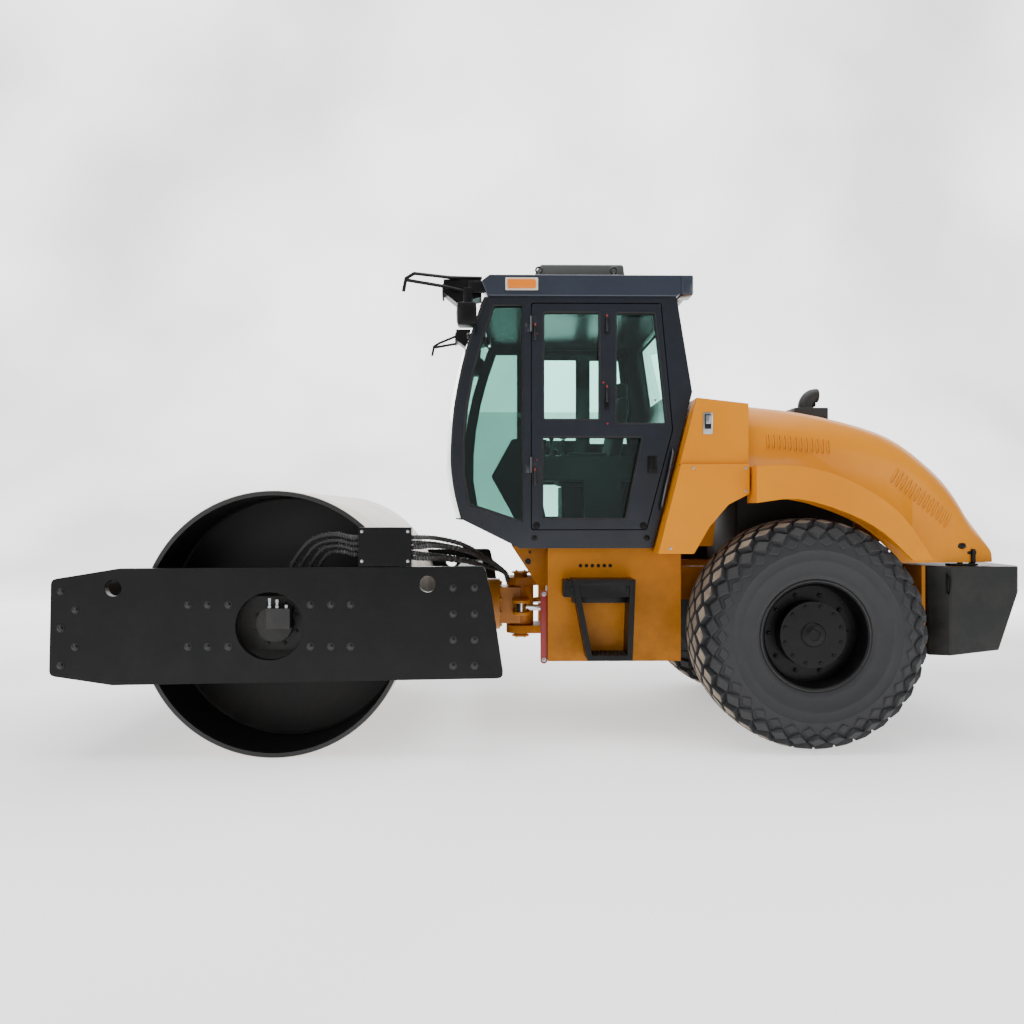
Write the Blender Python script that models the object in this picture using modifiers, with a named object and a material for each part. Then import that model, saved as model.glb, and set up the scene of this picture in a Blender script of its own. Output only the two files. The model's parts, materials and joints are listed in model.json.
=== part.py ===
"""Single-drum road roller: articulated frame, smooth drum, closed cab and a lifting engine hood.

Metres, +Z up. The drum leads at -X, the engine is at +X and the machine's left side is at -Y.
The origin is on the ground, in the middle of the machine's box.
"""
import math

import bmesh
import bpy
from mathutils import Matrix, Vector

# Driving dimensions of the whole machine
DRUM_RADIUS = 0.80
DRUM_WIDTH = 2.13
DRUM_SIDES = 72
TYRE_RADIUS = 0.72
TYRE_WIDTH = 0.53
TYRE_SIDES = 48
WHEELBASE = 3.267
FRONT_OVERHANG = 1.285
REAR_OVERHANG = 1.38
DRUM_TO_PIVOT = 1.50
FRAME_WIDTH = 2.30
JOINT_Z = 0.80
DECK_Z = 1.24
CAB_HALF = 0.80
CAB_LENGTH = 1.5235
CAB_TOP_Z = 2.83
WHEEL_TRACK = 1.62

# Fits shared by all pieces
SEAT_GAP = 0.0003
RUNNING_GAP = 0.006
PIN_GAP = 0.001
WELD = 0.00001
OVERRUN = 0.05
PIN_SIDES = 24

# Stations along the machine
DRUM_X = FRONT_OVERHANG - (FRONT_OVERHANG + WHEELBASE + REAR_OVERHANG) / 2
PIVOT_X = DRUM_X + DRUM_TO_PIVOT
AXLE_X = DRUM_X + WHEELBASE
TAIL_X = AXLE_X + REAR_OVERHANG
CAB_AHEAD_OF_PIVOT = 0.452
CAB_X = PIVOT_X - CAB_AHEAD_OF_PIVOT
DRUM_AXIS_Z = DRUM_RADIUS * math.cos(math.pi / DRUM_SIDES)
WHEEL_AXIS_Z = TYRE_RADIUS * math.cos(math.pi / TYRE_SIDES)
CAB_BASE_Z = DECK_Z + SEAT_GAP
CAB_HEIGHT = CAB_TOP_Z - CAB_BASE_Z

for leftover in list(bpy.data.objects):
    bpy.data.objects.remove(leftover, do_unlink=True)

PARTS = bpy.data.collections.new("road_roller")
CUTTERS = bpy.data.collections.new("cutters")
bpy.context.scene.collection.children.link(PARTS)
bpy.context.scene.collection.children.link(CUTTERS)


def material(name, colour, roughness, metallic=0.0, alpha=1.0):
    made = bpy.data.materials.new(name)
    made.use_nodes = True
    shader = made.node_tree.nodes["Principled BSDF"]
    shader.inputs["Base Color"].default_value = (*colour, 1.0)
    shader.inputs["Roughness"].default_value = roughness
    shader.inputs["Metallic"].default_value = metallic
    shader.inputs["Alpha"].default_value = alpha
    return made


YELLOW = material("yellow_paint", (0.78, 0.42, 0.04), 0.4)
BLACK = material("black_paint", (0.02, 0.02, 0.024), 0.45)
CAB_PAINT = material("cab_paint", (0.025, 0.028, 0.038), 0.4)
CASTING = material("cast_iron", (0.07, 0.07, 0.07), 0.6, 0.3)
STEEL = material("bare_steel", (0.55, 0.50, 0.45), 0.35, 0.9)
CHROME = material("chrome", (0.8, 0.8, 0.8), 0.15, 1.0)
RED = material("red_paint", (0.35, 0.02, 0.02), 0.45)
RUBBER = material("rubber", (0.03, 0.03, 0.03), 0.85)
GLASS = material("tinted_glass", (0.25, 0.5, 0.45), 0.05, 0.0, 0.35)
FABRIC = material("seat_fabric", (0.04, 0.04, 0.045), 0.9)
PLASTIC = material("grey_plastic", (0.08, 0.08, 0.09), 0.6)


def joint_empty(name, place, parent=None):
    """An empty on a joint's axis that carries the pieces of the moving body."""
    empty = bpy.data.objects.new(name, None)
    empty.location = place
    PARTS.objects.link(empty)
    if parent is not None:
        empty.parent = parent
        empty.matrix_parent_inverse = Matrix.Translation(parent["place"]).inverted()
    empty["place"] = place
    return empty


def carried(piece, parent):
    """The piece moves with the empty and stays where it was modelled."""
    if parent is not None:
        piece.parent = parent
        piece.matrix_parent_inverse = Matrix.Translation(parent["place"]).inverted()
    return piece


def placed(name, mesh, paint, place=(0, 0, 0), turn=None):
    piece = bpy.data.objects.new(name, mesh)
    piece.location = place
    if turn is not None:
        piece.rotation_euler = turn
    mesh.materials.clear()
    mesh.materials.append(paint)
    PARTS.objects.link(piece)
    return piece


def block(name, low, high, paint, edge=0.0):
    """A box between two corners, with its edges rounded by edge."""
    size = Vector(high) - Vector(low)
    model = bmesh.new()
    bmesh.ops.create_cube(model, size=1.0, matrix=Matrix.Diagonal((*size, 1)))
    mesh = bpy.data.meshes.new(name)
    model.to_mesh(mesh)
    model.free()
    piece = placed(name, mesh, paint, (Vector(low) + Vector(high)) / 2)
    if edge > 0:
        rounding = piece.modifiers.new("edge", "BEVEL")
        rounding.width = edge
        rounding.segments = 2
    return piece


def rod(name, start, end, radius, paint, sides=PIN_SIDES, end_radius=None):
    """A round bar or cone between two points."""
    start, end = Vector(start), Vector(end)
    far = radius if end_radius is None else end_radius
    model = bmesh.new()
    bmesh.ops.create_cone(model, cap_ends=True, segments=sides, radius1=radius, radius2=far,
                          depth=(end - start).length)
    mesh = bpy.data.meshes.new(name)
    model.to_mesh(mesh)
    model.free()
    turn = (end - start).to_track_quat("Z", "Y").to_euler()
    piece = placed(name, mesh, paint, (start + end) / 2, turn)
    return piece


def solid_curve(curve_object):
    """The curve as a welded, closed mesh object in the same place."""
    bpy.context.view_layer.update()
    graph = bpy.context.evaluated_depsgraph_get()
    mesh = bpy.data.meshes.new_from_object(curve_object.evaluated_get(graph))
    model = bmesh.new()
    model.from_mesh(mesh)
    bmesh.ops.remove_doubles(model, verts=model.verts, dist=WELD)
    bmesh.ops.recalc_face_normals(model, faces=model.faces)
    model.to_mesh(mesh)
    model.free()
    name, place = curve_object.name, curve_object.matrix_world.copy()
    paint = curve_object.data.materials[0]
    bpy.data.objects.remove(curve_object, do_unlink=True)
    solid = placed(name, mesh, paint)
    solid.matrix_world = place
    return solid


PLANE_TURN = {"X": (math.pi / 2, 0, math.pi / 2), "Y": (math.pi / 2, 0, 0), "Z": (0, 0, 0)}


def prism(name, outline, low, high, paint, axis="Y", holes=()):
    """A flat outline with holes, from low to high along axis: (x, z) on Y, (x, y) on Z, (y, z) on X."""
    flat = bpy.data.curves.new(name, "CURVE")
    flat.dimensions = "2D"
    flat.fill_mode = "BOTH"
    flat.extrude = (high - low) / 2
    for loop in (outline, *holes):
        spline = flat.splines.new("POLY")
        spline.points.add(len(loop) - 1)
        for point, (across, up) in zip(spline.points, loop):
            point.co = (across, up, 0, 1)
        spline.use_cyclic_u = True
    flat.materials.append(paint)
    piece = bpy.data.objects.new(name, flat)
    piece.rotation_euler = PLANE_TURN[axis]
    piece.location["XYZ".index(axis)] = (low + high) / 2
    PARTS.objects.link(piece)
    return solid_curve(piece)


def turned(name, profile, paint, place, sides, closed=True):
    """A profile of (radius, along) turned round the Y axis through place, with a flat at its bottom."""
    area = sum(a[0] * b[1] - b[0] * a[1] for a, b in zip(profile, profile[1:] + profile[:1]))
    ordered = profile if area < 0 else profile[::-1]
    model = bmesh.new()
    ring = [model.verts.new((radius, 0, along)) for radius, along in ordered]
    for first, second in zip(ring, ring[1:]):
        model.edges.new((first, second))
    if closed:
        model.edges.new((ring[-1], ring[0]))
    mesh = bpy.data.meshes.new(name)
    model.to_mesh(mesh)
    model.free()
    turn = Matrix.Rotation(-math.pi / 2, 3, "X") @ Matrix.Rotation(math.pi / sides, 3, "Z")
    piece = placed(name, mesh, paint, place, turn.to_euler())
    screw = piece.modifiers.new("turn", "SCREW")
    screw.steps = sides
    screw.render_steps = sides
    screw.use_merge_vertices = True
    screw.merge_threshold = 0.0001
    return piece


def tube(name, points, radius, paint, resolution=2):
    """A round tube along a row of points."""
    path = bpy.data.curves.new(name, "CURVE")
    path.dimensions = "3D"
    path.bevel_depth = radius
    path.bevel_resolution = resolution
    path.use_fill_caps = True
    spline = path.splines.new("POLY")
    spline.points.add(len(points) - 1)
    for point, place in zip(spline.points, points):
        point.co = (*place, 1)
    path.materials.append(paint)
    piece = bpy.data.objects.new(name, path)
    PARTS.objects.link(piece)
    return solid_curve(piece)


def shaped(piece, tool, operation):
    """A Boolean modifier on piece; the tool goes to the cutters."""
    change = piece.modifiers.new(operation.lower(), "BOOLEAN")
    change.operation = operation
    change.object = tool
    PARTS.objects.unlink(tool)
    CUTTERS.objects.link(tool)
    tool.hide_render = True
    tool.display_type = "WIRE"
    return piece


def cut(piece, *tools):
    for tool in tools:
        shaped(piece, tool, "DIFFERENCE")
    return piece


def joined(piece, *tools):
    for tool in tools:
        shaped(piece, tool, "UNION")
    return piece


def circle(across, up, radius, sides=PIN_SIDES):
    step = math.tau / sides
    return [(across + radius * math.cos(k * step), up + radius * math.sin(k * step)) for k in range(sides)]


def rounded(points, radius, steps=3):
    """The outline with each corner replaced by a short curve."""
    result = []
    for index, corner in enumerate(points):
        here = Vector(corner)
        before = Vector(points[index - 1]) - here
        after = Vector(points[(index + 1) % len(points)]) - here
        half_angle = before.angle(after) / 2
        reach = min(radius / math.tan(half_angle), before.length * 0.45, after.length * 0.45)
        first = here + before.normalized() * reach
        last = here + after.normalized() * reach
        for step in range(steps + 1):
            share = step / steps
            place = first * (1 - share) ** 2 + here * 2 * share * (1 - share) + last * share ** 2
            result.append(tuple(place))
    return result


def inset(points, distance):
    """The outline moved inwards by distance; a negative distance moves it outwards."""
    area = sum(a[0] * b[1] - b[0] * a[1] for a, b in zip(points, points[1:] + points[:1]))
    side = 1 if area > 0 else -1
    result = []
    for index, corner in enumerate(points):
        here = Vector(corner)
        run_in = (here - Vector(points[index - 1])).normalized()
        run_out = (Vector(points[(index + 1) % len(points)]) - here).normalized()
        normal_in = Vector((-run_in.y, run_in.x)) * side
        normal_out = Vector((-run_out.y, run_out.x)) * side
        shift = (normal_in + normal_out) * (distance / (1 + normal_in.dot(normal_out)))
        result.append(tuple(here + shift))
    return result


def smooth(points, per_span):
    """A smooth row of points through the given ones, in any number of dimensions."""
    rows = [Vector(p) for p in points]
    rows = [rows[0] * 2 - rows[1]] + rows + [rows[-1] * 2 - rows[-2]]
    result = []
    for a, b, c, d in zip(rows, rows[1:], rows[2:], rows[3:]):
        for step in range(per_span):
            t = step / per_span
            place = b * 2 + (c - a) * t + (a * 2 - b * 5 + c * 4 - d) * t ** 2
            place += (b * 3 - a - c * 3 + d) * t ** 3
            result.append(tuple(place / 2))
    result.append(tuple(rows[-2]))
    return result


def spread(shares, start, length, base, height):
    """Outline points from shares of a length and a height."""
    return [(start + across * length, base + up * height) for across, up in shares]


SIDES = (("left", -1), ("right", 1))

STEER = joint_empty("steer_axis", (PIVOT_X, 0, JOINT_Z))
OSCILLATION = joint_empty("oscillation_axis", (PIVOT_X, 0, JOINT_Z), STEER)
DRUM_SPIN = joint_empty("drum_axis", (DRUM_X, 0, DRUM_AXIS_Z), OSCILLATION)


def y_span(side, inner, outer):
    """Low and high Y of a span given by its distances from the middle, on one side."""
    return tuple(sorted((side * inner, side * outer)))


# Front frame: two side plates, two cross beams, drum mounts
PLATE_THICKNESS = 0.05
PLATE_LENGTH = 2.66
PLATE_BASE_Z = 0.455
PLATE_HEIGHT = 0.695
PLATE_CORNER = 0.035
PLATE_INNER = FRAME_WIDTH / 2 - PLATE_THICKNESS
PLATE_OUTLINE_SHARES = ((0, 0.08), (0.137, 0), (1, 0.05), (0.974, 0.717), (0.957, 1), (0.15, 0.983), (0.004, 0.892))
MOTOR_WINDOW_RADIUS = 0.20
LASHING_HOLE_RADIUS = 0.049
LASHING_HOLE_SHARES = ((0.140, 0.818), (0.8308, 0.849))


def frame_plate(word, side):
    outline = rounded(spread(PLATE_OUTLINE_SHARES, DRUM_X - FRONT_OVERHANG, PLATE_LENGTH, PLATE_BASE_Z,
                             PLATE_HEIGHT), PLATE_CORNER)
    holes = [circle(DRUM_X, DRUM_AXIS_Z, MOTOR_WINDOW_RADIUS, 32)]
    for across, up in spread(LASHING_HOLE_SHARES, DRUM_X - FRONT_OVERHANG, PLATE_LENGTH, PLATE_BASE_Z,
                             PLATE_HEIGHT):
        holes.append(circle(across, up, LASHING_HOLE_RADIUS, 16))
    low, high = y_span(side, PLATE_INNER, FRAME_WIDTH / 2)
    return carried(prism("frame_plate_" + word, outline, low, high, BLACK, "Y", holes), OSCILLATION)


BEAM_WALL = 0.03
FRONT_BEAM_X = 1.255
FRONT_BEAM_DEPTH = 0.155
FRONT_BEAM_Z = (0.53, 1.05)
REAR_BEAM_X = 1.20
REAR_BEAM_DEPTH = 0.17
REAR_BEAM_Z = (0.52, 1.06)
SCRAPER_THICKNESS = 0.015
SCRAPER_REACH = 0.24
SCRAPER_GAP = 0.015
SCRAPER_Z = 0.60


def channel(name, web_x, open_x, low_z, high_z):
    """A cross beam of channel section: the web at web_x, the flanges reaching to open_x."""
    wall = BEAM_WALL if open_x > web_x else -BEAM_WALL
    outline = [(open_x, low_z), (web_x, low_z), (web_x, high_z), (open_x, high_z),
               (open_x, high_z - BEAM_WALL), (web_x + wall, high_z - BEAM_WALL),
               (web_x + wall, low_z + BEAM_WALL), (open_x, low_z + BEAM_WALL)]
    half = PLATE_INNER - SEAT_GAP
    return prism(name, outline, -half, half, BLACK)


def front_beam():
    beam = channel("front_beam", DRUM_X - FRONT_BEAM_X, DRUM_X - FRONT_BEAM_X + FRONT_BEAM_DEPTH,
                   *FRONT_BEAM_Z)
    drop = DRUM_AXIS_Z - SCRAPER_Z
    tip_x = DRUM_X - math.sqrt((DRUM_RADIUS + SCRAPER_GAP) ** 2 - drop ** 2)
    root_x = DRUM_X - FRONT_BEAM_X + BEAM_WALL / 2
    half = DRUM_WIDTH / 2
    blade = block("scraper_blade", (root_x, -half, SCRAPER_Z - SCRAPER_THICKNESS),
                  (tip_x, half, SCRAPER_Z), BLACK)
    return carried(joined(beam, blade), OSCILLATION)


FLANGE_RADIUS = 0.235
FLANGE_THICKNESS = 0.035
SWING_PIN_RADIUS = 0.07
SWING_PIN_END = 0.09


def rear_beam():
    """The rear cross beam with the bolted flange and the shaft of the swinging joint."""
    web = DRUM_X + REAR_BEAM_X
    beam = channel("rear_beam", web, web - REAR_BEAM_DEPTH, *REAR_BEAM_Z)
    flange = rod("joint_flange", (web - BEAM_WALL / 2, 0, JOINT_Z), (web + FLANGE_THICKNESS, 0, JOINT_Z),
                 FLANGE_RADIUS, CASTING, PIN_SIDES)
    shaft = rod("joint_shaft", (web, 0, JOINT_Z), (PIVOT_X - SWING_PIN_END, 0, JOINT_Z),
                SWING_PIN_RADIUS, CASTING)
    return carried(joined(beam, flange, shaft), OSCILLATION)


MOUNT_PAD_X = (0.20, 0.52)
MOUNT_PAD_HALF_HEIGHT = 0.175
MOUNT_PAD_THICKNESS = 0.025
BUFFER_RADIUS = 0.05
BUFFER_X = (0.29, 0.43)
BUFFER_Z = 0.10
ARM_INNER = 0.97
ARM_THICKNESS = 0.035
ARM_HALF_LENGTH = 0.50
ARM_HALF_HEIGHT = 0.16
BEARING_RADIUS = 0.16
STUB_RADIUS = 0.10
BEARING_INNER = 0.72
HEAD_INNER = 0.62
HEAD_THICKNESS = 0.03
MOTOR_RADIUS = 0.11
MOTOR_REACH = 1.12
MOTOR_HEAD_X = (-0.03, 0.11)
MOTOR_HEAD_Z = (-0.02, 0.10)


def drum_mount(word, side):
    """Pads on the side plate, rubber buffers, the arm with the drum's bearing and its motor."""
    arm_outline = [(-ARM_HALF_LENGTH, -ARM_HALF_HEIGHT), (ARM_HALF_LENGTH, -ARM_HALF_HEIGHT),
                   (ARM_HALF_LENGTH, ARM_HALF_HEIGHT), (-ARM_HALF_LENGTH, ARM_HALF_HEIGHT)]
    arm_outline = [(DRUM_X + x, DRUM_AXIS_Z + z) for x, z in rounded(arm_outline, ARM_HALF_HEIGHT / 3)]
    arm_outer = ARM_INNER + ARM_THICKNESS
    mount = prism("drum_mount_" + word, arm_outline, *y_span(side, ARM_INNER, arm_outer), CASTING)
    face = PLATE_INNER - SEAT_GAP
    for end in (-1, 1):
        near, far = sorted(end * x for x in MOUNT_PAD_X)
        low, high = y_span(side, face - MOUNT_PAD_THICKNESS, face)
        joined(mount, block("mount_pad", (DRUM_X + near, low, DRUM_AXIS_Z - MOUNT_PAD_HALF_HEIGHT),
                            (DRUM_X + far, high, DRUM_AXIS_Z + MOUNT_PAD_HALF_HEIGHT), CASTING))
        for reach in BUFFER_X:
            for level in (-BUFFER_Z, BUFFER_Z):
                x, z = DRUM_X + end * reach, DRUM_AXIS_Z + level
                joined(mount, rod("buffer", (x, side * (arm_outer - ARM_THICKNESS / 2), z),
                                  (x, side * (face - MOUNT_PAD_THICKNESS / 2), z), BUFFER_RADIUS, RUBBER, 10))
    axis = (DRUM_X, 0, DRUM_AXIS_Z)
    joined(mount, rod("bearing", Vector(axis) + Vector((0, side * BEARING_INNER, 0)),
                      Vector(axis) + Vector((0, side * (arm_outer - ARM_THICKNESS / 2), 0)),
                      BEARING_RADIUS, CASTING, PIN_SIDES))
    joined(mount, rod("motor", Vector(axis) + Vector((0, side * (arm_outer - ARM_THICKNESS / 2), 0)),
                      Vector(axis) + Vector((0, side * (PLATE_INNER - PLATE_THICKNESS), 0)),
                      MOTOR_RADIUS, CASTING, 16))
    low, high = y_span(side, arm_outer, MOTOR_REACH)
    joined(mount, block("motor_head", (DRUM_X + MOTOR_HEAD_X[0], low, DRUM_AXIS_Z + MOTOR_HEAD_Z[0]),
                        (DRUM_X + MOTOR_HEAD_X[1], high, DRUM_AXIS_Z + MOTOR_HEAD_Z[1]), CASTING))
    bore_end = ARM_INNER - PIN_GAP
    cut(mount, rod("bearing_bore", Vector(axis) + Vector((0, side * (BEARING_INNER - OVERRUN), 0)),
                   Vector(axis) + Vector((0, side * bore_end, 0)), STUB_RADIUS + PIN_GAP, CASTING))
    return carried(mount, OSCILLATION)


# Drum: the shell and the spool of its two heads
SHELL_THICKNESS = 0.03
CORE_RADIUS = 0.16


def drum_shell():
    half = DRUM_WIDTH / 2
    inner = DRUM_RADIUS - SHELL_THICKNESS
    profile = [(inner, -half), (DRUM_RADIUS, -half), (DRUM_RADIUS, half), (inner, half)]
    shell = turned("drum_shell", profile, STEEL, (DRUM_X, 0, DRUM_AXIS_Z), DRUM_SIDES)
    return carried(shell, DRUM_SPIN)


def drum_core():
    """Both heads, the vibrator housing between them and a stub axle on each side."""
    rim = DRUM_RADIUS - SHELL_THICKNESS - SEAT_GAP
    stub_end = ARM_INNER - 2 * RUNNING_GAP
    outer = HEAD_INNER + HEAD_THICKNESS
    half = [(0, stub_end), (STUB_RADIUS, stub_end), (STUB_RADIUS, outer), (rim, outer), (rim, HEAD_INNER),
            (CORE_RADIUS, HEAD_INNER)]
    profile = half + [(radius, -along) for radius, along in reversed(half)]
    core = turned("drum_core", profile, BLACK, (DRUM_X, 0, DRUM_AXIS_Z), DRUM_SIDES, closed=False)
    return carried(core, DRUM_SPIN)


HOSE_BOX_X = (0.52, 0.83)
HOSE_BOX_INNER = 1.08
HOSE_BOX_TOP_Z = 1.38
HOSE_BOX_WALL = 0.006
BOX_TAB_X = (0.60, 0.75)
BOX_TAB_THICKNESS = 0.016
BOX_TAB_DROP = 0.12


def hose_box():
    """The bent cover over the hoses, held by a tab on the inner face of the left side plate."""
    base = PLATE_BASE_Z + PLATE_HEIGHT + SEAT_GAP
    low = (DRUM_X + HOSE_BOX_X[0], -FRAME_WIDTH / 2, base)
    high = (DRUM_X + HOSE_BOX_X[1], -HOSE_BOX_INNER, HOSE_BOX_TOP_Z)
    box = block("hose_box", low, high, BLACK)
    face = -PLATE_INNER + SEAT_GAP
    tab = block("box_tab", (DRUM_X + BOX_TAB_X[0], face, base - BOX_TAB_DROP),
                (DRUM_X + BOX_TAB_X[1], face + BOX_TAB_THICKNESS, base + BOX_TAB_DROP), BLACK)
    return carried(joined(box, tab), OSCILLATION)


# Centre joint: the yoke steers about the vertical pin and carries the swinging front frame
HOUSING_RADIUS = 0.185
HOUSING_START = 0.255
HOUSING_END = 0.15
NECK_HALF = 0.115
NECK_HALF_HEIGHT = 0.13
STEER_HUB_RADIUS = 0.095
STEER_PIN_RADIUS = 0.05
EAR_GAP_HALF = 0.145
EAR_THICKNESS = 0.055
EAR_HALF_WIDTH = 0.13
EYE_Y = 0.22
EYE_RADIUS = 0.042
EYE_HALF_HEIGHT = 0.03
ARM_PLATE = 0.022
ARM_RADIUS = 0.06


def yoke():
    """The swinging joint's housing, the steering hub and an arm to each steering cylinder."""
    mid = JOINT_Z
    flange_face = DRUM_X + REAR_BEAM_X + FLANGE_THICKNESS
    body = rod("yoke", (flange_face + RUNNING_GAP, 0, mid), (PIVOT_X - HOUSING_END, 0, mid),
               HOUSING_RADIUS, YELLOW, PIN_SIDES)
    neck = block("neck", (PIVOT_X - HOUSING_END - OVERRUN, -NECK_HALF, mid - NECK_HALF_HEIGHT),
                 (PIVOT_X, NECK_HALF, mid + NECK_HALF_HEIGHT), YELLOW)
    hub = rod("hub", (PIVOT_X, 0, mid - EAR_GAP_HALF + SEAT_GAP), (PIVOT_X, 0, mid + EAR_GAP_HALF - SEAT_GAP),
              STEER_HUB_RADIUS, YELLOW, PIN_SIDES)
    joined(body, neck, hub)
    for level in (EYE_HALF_HEIGHT + SEAT_GAP, -EYE_HALF_HEIGHT - SEAT_GAP - ARM_PLATE):
        outline = rounded([(PIVOT_X - ARM_RADIUS, -EYE_Y - ARM_RADIUS), (PIVOT_X + ARM_RADIUS, -EYE_Y - ARM_RADIUS),
                           (PIVOT_X + ARM_RADIUS, EYE_Y + ARM_RADIUS), (PIVOT_X - ARM_RADIUS, EYE_Y + ARM_RADIUS)],
                          ARM_RADIUS * 0.8)
        joined(body, prism("arm", outline, mid + level, mid + level + ARM_PLATE, YELLOW, "Z"))
    cut(body, rod("shaft_bore", (flange_face - OVERRUN, 0, mid),
                  (PIVOT_X - SWING_PIN_END + RUNNING_GAP, 0, mid), SWING_PIN_RADIUS + PIN_GAP, YELLOW))
    reach = EAR_GAP_HALF + OVERRUN
    cut(body, rod("pin_bore", (PIVOT_X, 0, mid - reach), (PIVOT_X, 0, mid + reach),
                  STEER_PIN_RADIUS + PIN_GAP, YELLOW))
    return carried(body, STEER)


# Steering cylinders: the barrel is pinned to the chassis, the rod's eye sits in the yoke's arm
BARREL_PIN_X = 0.66
BARREL_PIN_Y = 0.32
BARREL_RADIUS = 0.042
BARREL_EYE_RADIUS = 0.05
BARREL_LENGTH = 0.41
BARREL_NECK = 0.025
BORE_START = 0.088
ROD_RADIUS = 0.022
ROD_LENGTH = 0.45


def steering_cylinder(word, side):
    pin = Vector((PIVOT_X + BARREL_PIN_X, side * BARREL_PIN_Y, JOINT_Z))
    eye = Vector((PIVOT_X, side * EYE_Y, JOINT_Z))
    along = (eye - pin).normalized()
    up = Vector((0, 0, EYE_HALF_HEIGHT))
    swing = joint_empty("barrel_pin_" + word, tuple(pin))
    tube_start = pin + along * (BARREL_EYE_RADIUS + BARREL_NECK)
    barrel = rod("cylinder_barrel_" + word, tube_start, pin + along * BARREL_LENGTH, BARREL_RADIUS, BLACK, 16)
    joined(barrel, rod("barrel_neck", pin, tube_start + along * BARREL_NECK / 2, EYE_HALF_HEIGHT * 0.9, BLACK, 16))
    joined(barrel, rod("barrel_eye", pin - up, pin + up, BARREL_EYE_RADIUS, BLACK, 16))
    cut(barrel, rod("barrel_bore", pin + along * BORE_START, pin + along * (BARREL_LENGTH + OVERRUN),
                    ROD_RADIUS + PIN_GAP, BLACK, 16))
    carried(barrel, swing)
    slider = rod("cylinder_rod_" + word, eye, eye - along * ROD_LENGTH, ROD_RADIUS, CHROME, 16)
    joined(slider, rod("rod_eye", eye - up, eye + up, EYE_RADIUS, BLACK, 16))
    carried(slider, swing)


# Chassis of the rear frame
CHASSIS_BASE_Z = 0.51
CHASSIS_FRONT = 0.158
RAIL_OUTER = 0.72
RAIL_INNER = 0.60
BELLY_FRONT = 0.80
BELLY_REAR = 0.75
DECK_THICKNESS = 0.04
NOSE_AHEAD = 0.07
NOSE_LENGTH = 0.37
NOSE_BASE_Z = 0.972
NOSE_HALF = 0.45
NOSE_OUTLINE_SHARES = ((0, 1), (0.478, 0), (1, 0), (1, 1))
BOOM_FRONT = 0.19
LONG_RAIL_INNER = 0.34
LONG_RAIL_OUTER = 0.46
LONG_RAIL_Z = (0.88, 1.10)
TAIL_LENGTH = 0.16
TAIL_Z = (0.60, 1.13)
TAIL_HALF = 0.80
TAIL_PLAN_SHARES = ((0, 0.625), (0.70, 0.625), (0.85, 1), (1, 1))
AXLE_PAD_HALF = 0.13
AXLE_TUBE_RADIUS = 0.11
COUNTERWEIGHT_LENGTH = 0.587
LUG_SIZE = (0.16, 0.12)


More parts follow.
